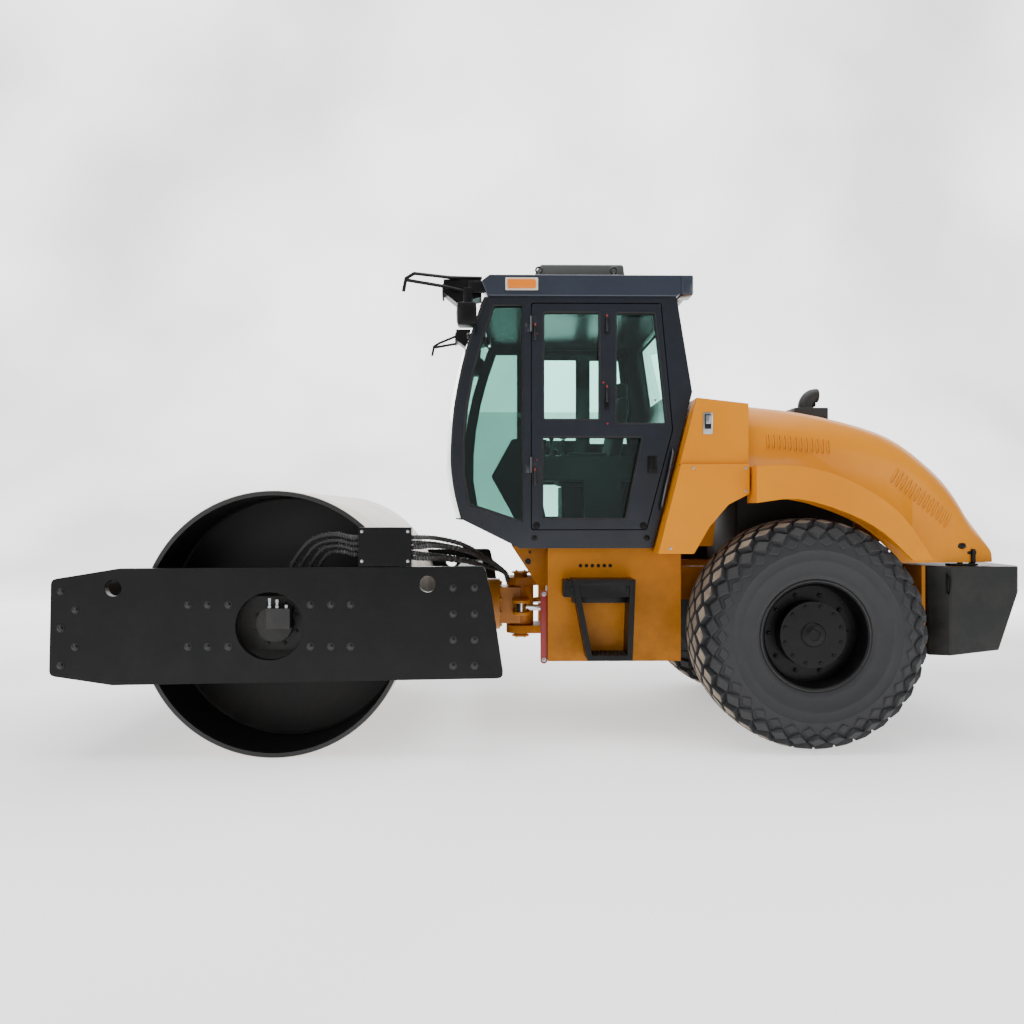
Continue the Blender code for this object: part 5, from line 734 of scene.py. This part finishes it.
# The latch: part, reach along, reach out from the cover, reach up, edge, finish, slot
LATCH_PARTS = (("plate", (0.928, 0.988), (0.0, 0.005), (1.952, 2.088), 0.002, plated, "chrome"),
               # The recess is a near-black block of painted shadow.
               ("recess", (0.938, 0.978), (0.004, 0.0075), (1.985, 2.075), 0.0015, painted_hole_shadow, "black_paint"),
               ("paddle", (0.943, 0.973), (0.006, 0.014), (2.015, 2.068), 0.003, plated, "chrome"))
PANEL_SCREWS = ((0.72, 1.245), (0.86, 1.74), (1.185, 1.74), (1.185, 1.60))
for word, side in SIDES:
    clad("lower_panel_" + word, golden, 0.006)
    for part, along, out, up, edge, finish, slot_name in LATCH_PARTS:
        corner, opposite = [(along[end], side * (COVER_SIDE + out[end]), up[end]) for end in (0, 1)]
        blocked("latch_%s_%s" % (part, word), corner, opposite, edge, finish, "rear_frame")
    shape = bmesh.new()
    side_studs(shape, PANEL_SCREWS, side, PANEL_SIDE, 0.007, 0.004, 8)
    finished("panel_screws_" + word, shape, plated, "rear_frame")

# Engine hood: pressed and welded steel with the wheel arches in one piece, painted golden yellow, with
# two rows of pressed louvres on each side, a slatted black grille at the back and a black exhaust.
clad("hood", golden, 0.0, 32)
clad("rear_grille", satin_black, 0.002)
clad("exhaust", satin_black, 0.003, 45)
EXHAUST_Y, MOUTH_Z = -0.15, 2.304
blocked("exhaust_foot", (1.745, -0.245, 2.075), (1.986, -0.055, 2.207), 0.006, cast_black, "hood")
ELBOW_LINE = ((1.853, 2.12), (1.853, 2.205), (1.858, 2.245), (1.878, 2.283), (1.912, 2.302), (1.942, MOUTH_Z))
swept("exhaust_elbow", even([(x, EXHAUST_Y, z) for x, z in ELBOW_LINE], 0.02), 0.050, cast_black, "hood",
      6)
# Painted shadow: a near-black disc inside the exhaust's mouth for the shade in the pipe.
swept("exhaust_mouth_shadow", [(x, EXHAUST_Y, MOUTH_Z) for x in (1.936, 1.9445)], 0.044, painted_hole_shadow, "hood",
      6, False, 2)
hood_face = surface_of("hood")
LOUVRE_ROUND, SLOT_SHIFT = 0.0085, 0.0065
# Rows of louvres: count, first and last place along and up, length, lean
LOUVRE_ROWS = ((12, (1.350, 1.915), (1.730, 1.880), 0.105, 0.0), (13, (2.150, 1.700), (2.500, 1.420), 0.115, 0.50))
LATCH_POST = [(0.016, 0), (0.016, 0.10), (0.020, 0.105), (0.034, 0.112), (0.036, 0.125), (0.028, 0.140),
              (0, 0.146)]
for word, side in SIDES:
    shape = bmesh.new()
    shadow = bmesh.new()
    for count, first, last, tall, lean in LOUVRE_ROWS:
        for index in range(count):
            share = index / (count - 1)
            x = first[0] + (last[0] - first[0]) * share
            z = first[1] + (last[1] - first[1]) * share
            spot, normal = hood_face.ray_cast(Vector((x, side * 2.0, z)), Vector((0, -side, 0)))[:2]
            up = Vector((math.sin(lean), 0, math.cos(lean)))
            across = up.cross(normal).normalized()
            up = normal.cross(across).normalized()
            turn = Matrix.Translation(spot) @ Matrix((across, up, normal)).transposed().to_4x4()
            bmesh.ops.create_uvsphere(shape, u_segments=10, v_segments=6, radius=1.0,
                                      matrix=turn @ Matrix.Diagonal((LOUVRE_ROUND, tall / 2, LOUVRE_ROUND, 1)))
            # Painted shade: a dark ellipsoid just behind each louvre stands for the shade in its slot.
            bmesh.ops.create_uvsphere(shadow, u_segments=8, v_segments=6, radius=1.0,
                                      matrix=turn @ Matrix.Translation((SLOT_SHIFT, 0, 0.0))
                                      @ Matrix.Diagonal((0.0042, tall / 2 * 0.92, 0.0046, 1)))
    finished("louvres_" + word, shape, golden, "hood", 60)
    finished("louvre_slot_shadows_" + word, shadow, painted_hole_shadow, "hood", 60)
    shape = bmesh.new()
    y, foot = side * 0.80, 1.131
    lathed(shape, LATCH_POST, (2.60, y, foot), (0, 0, 1), 20)
    slab(shape, (2.52, y - 0.03, foot), (2.70, y + 0.03, 1.143), 0.003)
    slab(shape, (2.665, y - 0.022, 1.143), (2.69, y + 0.022, 1.235), 0.004)
    slab(shape, (2.58, y - 0.012, 1.20), (2.70, y + 0.012, 1.222), 0.004)
    finished("hood_latch_" + word, shape, satin_black, "rear_frame")

# Cab: welded tube and folded sheet sprayed blue-black, with green-tinted safety glass set in black
# rubber seals. Each door hangs on two barrel hinges, and its rear window on two more; their pins have
# red tips.
cab_black = coated("cab_blue_black_enamel", "#0c1018", "#121722", "#6b675e", 0.22, 2.6, 0.04, gloss=0.6)
seal_rubber = coated("window_seal_rubber", "#0b0b0c", "#131313", "#5c564d", 0.7, 2.6, 0.12, peel=0.004)


def tinted_glass(name, deep, pale):
    """Toughened glass, tinted green right through, a little unevenly between a deep and a pale tone."""
    finish, tree, shader = new_finish(name)
    place = add(tree, "ShaderNodeTexCoord").outputs["Object"]
    film = add(tree, "ShaderNodeTexNoise", {"Scale": 3.0, "Detail": 6.0}, {"Vector": place})
    tone = add(tree, "ShaderNodeMix", {"data_type": "RGBA", 6: linear(deep), 7: linear(pale)},
               {0: film.outputs["Fac"]})
    tree.links.new(tone.outputs[2], shader.inputs["Base Color"])
    shader.inputs["Transmission Weight"].default_value = 1.0
    shader.inputs["IOR"].default_value = 1.45
    shader.inputs["Roughness"].default_value = 0.02
    return finish


glass = tinted_glass("tinted_safety_glass", "#b6e2d8", "#c6ece3")
for node in ("windscreen", "rear_glass", "door_glass_left", "door_glass_right"):
    clad(node, glass, 0.0, 30)
# Painted reflection: the quarter windows get a darker copy of the same glass, standing for the dim surroundings
# they mirror.
quarter_glass_painted_reflection = tinted_glass("tinted_glass_darkened_for_reflection", "#86aea5", "#96bdb4")
for node in ("quarter_glass_left", "quarter_glass_right"):
    clad(node, quarter_glass_painted_reflection, 0.0, 30)
CAB_X, CAB_LENGTH, CAB_BASE, CAB_HEIGHT, CAB_HALF = -0.633, 1.5235, 1.2403, 1.5897, 0.80
SEAL_CORNER = 0.03


def cab_spot(along, up, y):
    """A place on the cab by its shares of the cab's length and height."""
    return Vector((CAB_X + along * CAB_LENGTH, y, CAB_BASE + up * CAB_HEIGHT))


# The door's edge and its windows, as shares of the cab's length and height
DOOR_EDGE = ((0.3275, 0.072), (0.8107, 0.072), (0.920, 0.4715), (0.871, 0.978), (0.3275, 0.978))
DOOR_WINDOWS = (((0.379, 0.512), (0.614, 0.512), (0.614, 0.941), (0.379, 0.941)),
                ((0.681, 0.496), (0.894, 0.496), (0.844, 0.939), (0.681, 0.939)),
                ((0.375, 0.117), (0.7234, 0.117), (0.7935, 0.444), (0.375, 0.444)))
clad("cab_rear", cab_black, 0.005)
clad("cab_floor", cab_black, 0.003)


def seal_loop(name, corners, radius, body):
    """A rubber seal run round a window's edge, rounded at its corners."""
    points = []
    for before, corner, after in zip(corners[-1:] + corners[:-1], corners, corners[1:] + corners[:1]):
        points += [corner + (before - corner).normalized() * SEAL_CORNER, corner,
                   corner + (after - corner).normalized() * SEAL_CORNER, (corner + after) / 2]
    return swept(name, points, radius, seal_rubber, body, 1, True, 3)


# Places along and up of the hinges' feet, their plates, the caps and the red pin ends
HINGES = ((-0.108, 2.555), (-0.108, 1.640), (0.347, 2.612), (0.347, 2.165))
HINGE_PLATES = ((0.347, 2.634), (0.347, 2.155))
DOOR_CAPS, FRAME_CAPS = ((-0.098, 1.385), (0.578, 1.385)), ((-0.112, 1.306), (0.600, 1.306))
RED_PINS = ((-0.098, 2.60), (-0.098, 1.80), (0.352, 2.03), (0.325, 2.29), (0.655, 2.18))
HINGE_OUT = 0.014
BARREL = [(0, 0), (0.009, 0), (0.010, 0.002), (0.010, 0.088), (0.009, 0.090), (0, 0.090)]
BARREL_TIP = [(0, 0.088), (0.0075, 0.088), (0.0075, 0.100), (0.004, 0.106), (0, 0.106)]
FRAME_CAP = [(0, 0.012), (0.012, 0.012), (0.017, 0.009), (0.019, 0.0), (0, 0)]
for word, side in SIDES:
    face = side * CAB_HALF
    barrel_y = face + side * HINGE_OUT
    clad("cab_side_" + word, cab_black, 0.004)
    clad("door_" + word, cab_black, 0.004)
    for index, window in enumerate(DOOR_WINDOWS):
        corners = [cab_spot(along, up, face - side * 0.004) for along, up in window]
        seal_loop("door_seal_%d_%s" % (index, word), corners, 0.007, "door_" + word)
        corners = [cab_spot(along, up, face - side * 0.040) for along, up in window]
        seal_loop("door_inner_seal_%d_%s" % (index, word), corners, 0.006, "door_" + word)
    seal_loop("door_frame_seal_" + word, [cab_spot(along, up, side * 0.7425) for along, up in DOOR_EDGE], 0.0115,
              "rear_frame")
    shape = bmesh.new()
    red = bmesh.new()
    for x, z in HINGES:
        lathed(shape, BARREL, (x, barrel_y, z), (0, 0, 1), 12)
        slab(shape, (x - 0.006, face, z + 0.02), (x + 0.006, barrel_y, z + 0.07))
        lathed(red, BARREL_TIP, (x, barrel_y, z), (0, 0, 1), 12)
    finished("hinge_barrels_" + word, shape, bolt_black, "door_" + word)
    finished("hinge_pin_tips_" + word, red, signal_red, "door_" + word)
    shape = bmesh.new()
    for x, z in HINGE_PLATES:
        slab(shape, (x - 0.016, face, z - 0.035), (x + 0.016, face + side * 0.010, z + 0.035), 0.003)
        side_studs(shape, [(x, z - 0.022), (x, z + 0.022)], side, CAB_HALF + 0.010, 0.006, 0.004, 8)
    side_studs(shape, DOOR_CAPS, side, CAB_HALF, 0.016, 0.006, 16)
    finished("window_hinges_" + word, shape, satin_black, "door_" + word)
    shape = bmesh.new()
    side_studs(shape, RED_PINS, side, CAB_HALF, 0.005, 0.005, 8)
    finished("red_pin_ends_" + word, shape, signal_red, "door_" + word)
    shape = bmesh.new()
    slab(shape, (0.605, face, 1.715), (0.665, face + side * 0.008, 1.825), 0.003)
    slab(shape, (0.612, face + side * 0.006, 1.728), (0.632, face + side * 0.028, 1.812), 0.005)
    side_studs(shape, [(0.650, 1.745)], side, CAB_HALF + 0.008, 0.009, 0.006)
    finished("door_handle_" + word, shape, satin_black, "door_" + word)
    mesh = NODES["quarter_glass_" + word].data
    rim = sorted({(round(v.co.x, 4), round(v.co.z, 4)) for v in mesh.vertices})
    middle = Vector((sum(x for x, z in rim) / len(rim), 0, sum(z for x, z in rim) / len(rim)))
    rim.sort(key=lambda spot: math.atan2(spot[1] - middle.z, spot[0] - middle.x))
    for name, y in (("quarter_seal_", face - side * 0.003), ("quarter_inner_seal_", face - side * 0.050)):
        swept(name + word, [Vector((x, y, z)) for x, z in rim], 0.008, seal_rubber, "rear_frame", 1,
              True, 2)
    shape = bmesh.new()
    for x, z in FRAME_CAPS:
        lathed(shape, FRAME_CAP, (x, face, z), (0, side, 0), 16)
    finished("lifting_caps_" + word, shape, satin_black, "rear_frame")
REAR_HALF, REAR_LOW, REAR_HIGH, SEAL_BEHIND = 0.56, 2.29, 2.758, 0.012
rear_corners = [Vector((0.0, y, z)) for y, z in ((-REAR_HALF, REAR_LOW), (REAR_HALF, REAR_LOW),
                                                 (REAR_HALF, REAR_HIGH), (-REAR_HALF, REAR_HIGH))]
rear_pane = surface_of("rear_glass")
for corner in rear_corners:
    corner.x = rear_pane.find_nearest(Vector((1.2, corner.y * 0.98, corner.z)))[0].x + SEAL_BEHIND
seal_loop("rear_window_seal", rear_corners, 0.010, "rear_frame")

# Windscreen edge and wiper: the curved glass sits against a rubber seal all round, and one wiper with a
# rubber blade hangs from its pivot over the screen's middle.
screen = surface_of("windscreen")
SEAL_STEPS, SEAL_RADIUS, WIPER_RADIUS = 12, 0.009, 0.006
SCREEN_FOOT, SCREEN_TALL, SCREEN_HALF = 1.425, 1.395, 0.79
WIPER_LINE = ((0.0, 2.76), (0.02, 2.60), (0.05, 2.44), (0.09, 2.28), (0.13, 2.12))
BLADE_LEVELS, BLADE_Y = (2.44, 2.32, 2.20, 2.08, 1.96, 1.84), 0.09
WIPER_PIVOT = [(0, -0.030), (0.014, -0.030), (0.020, -0.026), (0.024, 0.006), (0.024, 0.014), (0, 0.014)]


def on_screen(y, z, behind):
    """The place on the glass in front of y and z, moved back by behind."""
    return screen.ray_cast(Vector((-2.0, y, z)), Vector((1, 0, 0)))[0] + Vector((behind, 0, 0))


for word, side in SIDES:
    line = []
    for index in range(SEAL_STEPS + 1):
        z = SCREEN_FOOT + SCREEN_TALL * index / SEAL_STEPS
        line.append(Vector((on_screen(side * 0.792, z, 0.004).x, side * 0.797, z)))
    swept("screen_seal_" + word, line, SEAL_RADIUS, seal_rubber, "rear_frame", 1)
for level, name in ((1.428, "screen_foot_seal"), (2.826, "screen_head_seal")):
    line = [on_screen(SCREEN_HALF * (2 * index / SEAL_STEPS - 1), level, 0.006) for index in range(SEAL_STEPS + 1)]
    swept(name, line, SEAL_RADIUS, seal_rubber, "rear_frame", 1)
wiper = [on_screen(y, z, -0.016) for y, z in WIPER_LINE]
swept("wiper_arm", wiper, WIPER_RADIUS, satin_black, "rear_frame", 1)
blade = [on_screen(BLADE_Y + 0.02 * (z - 2.12), z, -0.007) for z in BLADE_LEVELS]
swept("wiper_blade", blade, WIPER_RADIUS, seal_rubber, "rear_frame", 1)
turned("wiper_pivot", WIPER_PIVOT, wiper[0], (1, 0, 0), 16, satin_black, "rear_frame")

# Roof: a folded steel roof with a gutter; a cooler in a sloped moulded case with a slotted intake on a
# flat foot, four lifting eyes beside it, an amber marker lamp on each side and a box on each rear end.
# Painted reflection: the roof and its end boxes get a lighter, bluer copy of the cab's blue-black enamel, standing
# for the sky's sheen on the roof.
roof_enamel_sky_sheen = coated("roof_enamel_painted_sky_sheen", "#1b212d", "#222a38", "#6b675e", 0.26, 2.6, 0.04, gloss=0.7)
clad("cab_roof", roof_enamel_sky_sheen, 0.008)
pale_plastic = coated("pale_rim_plastic", "#cfc4b4", "#bdb2a2", "#8a8072", 0.4, 1.0, 0.1)
moulded = coated("moulded_black_plastic", "#101112", "#17181a", "#777067", 0.52, 3.4, 0.14, peel=0.0045)
CASE_FOOT, CASE_TOP = 2.985, 3.1555
FRONT_SLOPE, REAR_SLOPE, TOP_SHARE = 0.095, -0.015, 0.94
shape = bmesh.new()
slab(shape, (-0.150, -0.455, CASE_FOOT), (0.525, 0.455, CASE_TOP))
for vert in shape.verts:
    if vert.co.z > (CASE_FOOT + CASE_TOP) / 2:
        vert.co.x += FRONT_SLOPE if vert.co.x < 0 else REAR_SLOPE
        vert.co.y *= TOP_SHARE
bmesh.ops.bevel(shape, geom=shape.edges[:], offset=0.016, segments=3, profile=0.5, affect="EDGES", material=-1)
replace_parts(finished("cooler_case", shape, moulded, "rear_frame"), "ac_unit")
ROOF_SIDE, EYE_Y, EYE_RADIUS, EYE_Z, EYE_FOOT_Z = 0.83, 0.478, 0.021, 3.098, 2.990
EYE_FOOT = [(0, 0), (0.018, 0), (0.018, 0.070), (0.012, 0.078), (0.010, 0.088), (0, 0.088)]
for word, side in SIDES:
    blocked("marker_lens_" + word, (-0.283, side * ROOF_SIDE, 2.874), (-0.103, side * (ROOF_SIDE + 0.020), 2.934),
            0.010, amber_lens, "rear_frame")
    blocked("marker_frame_" + word, (-0.296, side * ROOF_SIDE, 2.864), (-0.090, side * (ROOF_SIDE + 0.008), 2.944),
            0.004, pale_plastic, "rear_frame")
    for index, x in enumerate((-0.069, 0.436)):
        turns = [step * math.pi / 6 for step in range(12)]
        ring = [(x + EYE_RADIUS * math.cos(turn), side * EYE_Y, EYE_Z + EYE_RADIUS * math.sin(turn))
                for turn in turns]
        swept("lifting_eye_%d_%s" % (index, word), ring, 0.0065, bolt_black, "rear_frame", 2,
              True, 3)
        turned("eye_foot_%d_%s" % (index, word), EYE_FOOT, (x, side * EYE_Y, EYE_FOOT_Z), (0, 0, 1), 16,
               bolt_black, "rear_frame")
blocked("cooler_foot", (-0.148, -0.50, 2.963), (0.535, 0.50, 2.992), 0.008, moulded, "rear_frame")
shape = bmesh.new()
for side in (-1, 1):
    slab(shape, (0.812, side * 0.70, 2.836), (0.8885, side * 0.842, 2.962), 0.010)
finished("roof_end_boxes", shape, roof_enamel_sky_sheen, "rear_frame")
# Painted shadow: the intake's slots are thin near-black slabs on the cooler's back.
shape = bmesh.new()
for index in range(9):
    y = -0.36 + index * 0.09
    for level in (3.015, 3.040):
        slab(shape, (0.505, y - 0.034, level), (0.5245, y + 0.034, level + 0.010), 0.002)
finished("intake_slot_shadows", shape, painted_hole_shadow, "rear_frame")


# Lamps: round work lamps in the black brackets on the cab's front corners, and a square lamp hanging
# under each, all with pale pressed glass in black rims.
def lamp_lens():
    """Pressed glass over a bright reflector: pale, glossy, with fine upright flutes."""
    finish, tree, shader = new_finish("fluted_lamp_glass")
    place = add(tree, "ShaderNodeTexCoord").outputs["Object"]
    flutes = add(tree, "ShaderNodeTexWave", {"Scale": 60.0, "bands_direction": "Y"}, {"Vector": place})
    tone = add(tree, "ShaderNodeMix", {"data_type": "RGBA", 6: linear("#9fa3a6"), 7: linear("#e8ebee")},
               {0: flutes.outputs["Fac"]})
    tree.links.new(tone.outputs[2], shader.inputs["Base Color"])
    bump = add(tree, "ShaderNodeBump", {"Strength": 0.4, "Distance": 0.001}, {"Height": flutes.outputs["Fac"]})
    tree.links.new(bump.outputs["Normal"], shader.inputs["Normal"])
    shader.inputs["Roughness"].default_value = 0.08
    shader.inputs["Metallic"].default_value = 0.6
    return finish


lens_glass = lamp_lens()
WORK_LENS = [(0, 0.010), (0.030, 0.008), (0.044, 0.004), (0.047, 0), (0, 0)]
WORK_RIM = [(0.047, 0), (0.0475, 0.008), (0.052, 0.010), (0.056, 0.006), (0.057, 0), (0.047, 0)]
LOW_LENS = [(0, 0.008), (0.030, 0.006), (0.046, 0.002), (0.048, 0), (0, 0)]
for word, side in SIDES:
    clad("lamp_bracket_" + word, satin_black, 0.003)
    lamp = surface_of("lamp_bracket_" + word)
    spot, normal = lamp.ray_cast(Vector((-1.6, side * 0.70, 2.885)), Vector((1, 0, 0)))[:2]
    turned("work_lamp_lens_" + word, WORK_LENS, spot, normal, 24, lens_glass, "rear_frame")
    turned("work_lamp_rim_" + word, WORK_RIM, spot, normal, 24, satin_black, "rear_frame")
    shape = bmesh.new()
    slab(shape, (-0.53, side * 0.79, 2.855), (-0.425, side * 0.822, 2.925), 0.003)
    slab(shape, (-0.595, side * 0.84, 2.62), (-0.475, side * 0.965, 2.76), 0.016)
    slab(shape, (-0.555, side * 0.888, 2.74), (-0.500, side * 0.912, 2.86), 0.003)
    finished("low_lamp_" + word, shape, satin_black, "rear_frame")
    turned("low_lamp_lens_" + word, LOW_LENS, (-0.595, side * 0.9025, 2.69), (-1, 0, 0), 24, lens_glass,
           "rear_frame")

# Driver's place: a rubber mat, a moulded console on each side with levers, the steering column and a
# suspended seat in woven cloth with a headrest.
grey_plastic = coated("moulded_grey_plastic", "#1b1c1e", "#232427", "#6d675e", 0.55, 1.6, 0.25, peel=0.004)
mat_rubber = coated("ribbed_mat_rubber", "#111111", "#191817", "#6d6254", 0.75, 1.5, 0.5, peel=0.006)
clad("seat_base", grey_plastic, 0.012)
clad("steering_console", grey_plastic, 0.008)
MAT_RIBS, RIB_APART, SEAT_HALF = 34, 0.0424, 0.46
shape = bmesh.new()
slab(shape, (-0.18, -0.72, 1.2912), (0.56, 0.72, 1.2980), 0.002)
for index in range(MAT_RIBS):
    y = -0.70 + index * RIB_APART
    if abs(y) > SEAT_HALF:
        slab(shape, (-0.17, y - 0.008, 1.2975), (0.55, y + 0.008, 1.3010))
finished("floor_mat", shape, mat_rubber, "rear_frame")
CONSOLE_TOP, LEVER_Y = 1.852, 0.40
for word, side in SIDES:
    for x, tall in ((0.02, 0.13), (0.10, 0.09)):
        lever = [(0, -0.004), (0.022, -0.004), (0.020, 0.010), (0.008, 0.016), (0.006, 0.02), (0.006, tall - 0.03),
                 (0.012, tall - 0.025), (0.019, tall - 0.006), (0.018, tall + 0.012), (0.008, tall + 0.022),
                 (0, tall + 0.023)]
        turned("lever_%d_%s" % (x * 100, word), lever, (x, side * LEVER_Y, CONSOLE_TOP), (0, 0, 1), 16, moulded,
               "rear_frame")
shape = bmesh.new()
for side in (-1, 1):
    slab(shape, (0.13, side * 0.435, CONSOLE_TOP - 0.001), (0.40, side * 0.310, 1.872), 0.010)
finished("arm_pads", shape, moulded, "rear_frame")


def woven_cloth():
    """Seat cloth: black yarn about 3 mm thick, drawn twice as coarse as real so that it shows."""
    finish, tree, shader = new_finish("woven_seat_cloth")
    place = add(tree, "ShaderNodeTexCoord").outputs["Object"]
    warp = add(tree, "ShaderNodeTexWave", {"Scale": 55.0, "bands_direction": "X"}, {"Vector": place})
    weft = add(tree, "ShaderNodeTexWave", {"Scale": 55.0, "bands_direction": "Y"}, {"Vector": place})
    cross = add(tree, "ShaderNodeMath", {"operation": "MULTIPLY"},
                {0: warp.outputs["Fac"], 1: weft.outputs["Fac"]})
    wear = add(tree, "ShaderNodeTexNoise", {"Scale": 6.0, "Detail": 4.0}, {"Vector": place})
    tone = add(tree, "ShaderNodeMix", {"data_type": "RGBA", 6: linear("#17181a"), 7: linear("#34363a")},
               {0: cross.outputs[0]})
    faded = add(tree, "ShaderNodeMix", {"data_type": "RGBA", 7: linear("#3a3733")},
                {0: wear.outputs["Fac"], 6: tone.outputs[2]})
    tree.links.new(faded.outputs[2], shader.inputs["Base Color"])
    bump = add(tree, "ShaderNodeBump", {"Strength": 0.4, "Distance": 0.001}, {"Height": cross.outputs[0]})
    tree.links.new(bump.outputs["Normal"], shader.inputs["Normal"])
    shader.inputs["Roughness"].default_value = 0.9
    shader.inputs["Sheen Weight"].default_value = 0.3
    return finish


CUTS, PULL, FLAT_SHARE, CROWN_SHARE = 15, 0.10, 0.72, 0.28
SEAM_DEPTH, SEAM_WIDTH, TUCK, STUFFING = 0.10, 0.05, 0.985, 0.8


def stuffed(name, low, high, finish, crown, lean=0.0, channels=2):
    """A crowned pad between two corners, its sides pulled in between the corners, with sewn channels."""
    low, high = Vector(low), Vector(high)
    middle, half = (low + high) / 2, (high - low) / 2
    shape = bmesh.new()
    bmesh.ops.create_cube(shape, size=2)
    bmesh.ops.subdivide_edges(shape, edges=shape.edges[:], cuts=CUTS, use_grid_fill=True)
    seams = [2 * (line + 1) / (channels + 1) - 1 for line in range(channels)]
    thin = min(range(3), key=lambda axis: half[axis])
    flat = [axis for axis in range(3) if axis != thin]
    for vert in shape.verts:
        a, b, t = vert.co[flat[0]], vert.co[flat[1]], vert.co[thin]
        belly = (1 - a * a) * (1 - b * b)
        round_a, round_b = a * math.sqrt(1 - b * b * PULL), b * math.sqrt(1 - a * a * PULL)
        edge = 1 - PULL * t * t
        seam = sum(math.exp(-((b - line) / SEAM_WIDTH) ** 2) for line in seams)
        tall = (t * (FLAT_SHARE + CROWN_SHARE * belly ** 0.35 * crown)
                - math.copysign(SEAM_DEPTH, t) * seam * min(1, belly * 3))
        spot = [0.0, 0.0, 0.0]
        spot[flat[0]], spot[flat[1]], spot[thin] = round_a * edge * TUCK, round_b * edge * TUCK, tall
        place = middle + Vector((spot[0] * half.x, spot[1] * half.y, spot[2] * half.z))
        place.x += lean * (place.z - low.z)
        vert.co = place
    bmesh.ops.recalc_face_normals(shape, faces=shape.faces)
    pad = finished(name, shape, finish, "rear_frame", 180)
    soft = pad.modifiers.new("soft", "SUBSURF")
    soft.levels = soft.render_levels = 1
    return pad


cloth = woven_cloth()
low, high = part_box("seat_cushion")
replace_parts(stuffed("seat_cushion_pad", low, high, cloth, 1.0), "seat_cushion")
low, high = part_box("seat_back")
BACK_THICK, BACK_LEAN, HEADREST_HALF = 0.11, 0.161, 0.13
back = stuffed("seat_back_pad", low, (low.x + BACK_THICK, high.y, high.z - 0.10), cloth, 1.0, BACK_LEAN)
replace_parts(back, "seat_back")
stuffed("headrest_pad", (low.x + 0.085, -HEADREST_HALF, high.z - 0.12), (low.x + 0.185, HEADREST_HALF, high.z),
        cloth, 1.0, 0.0, 0)
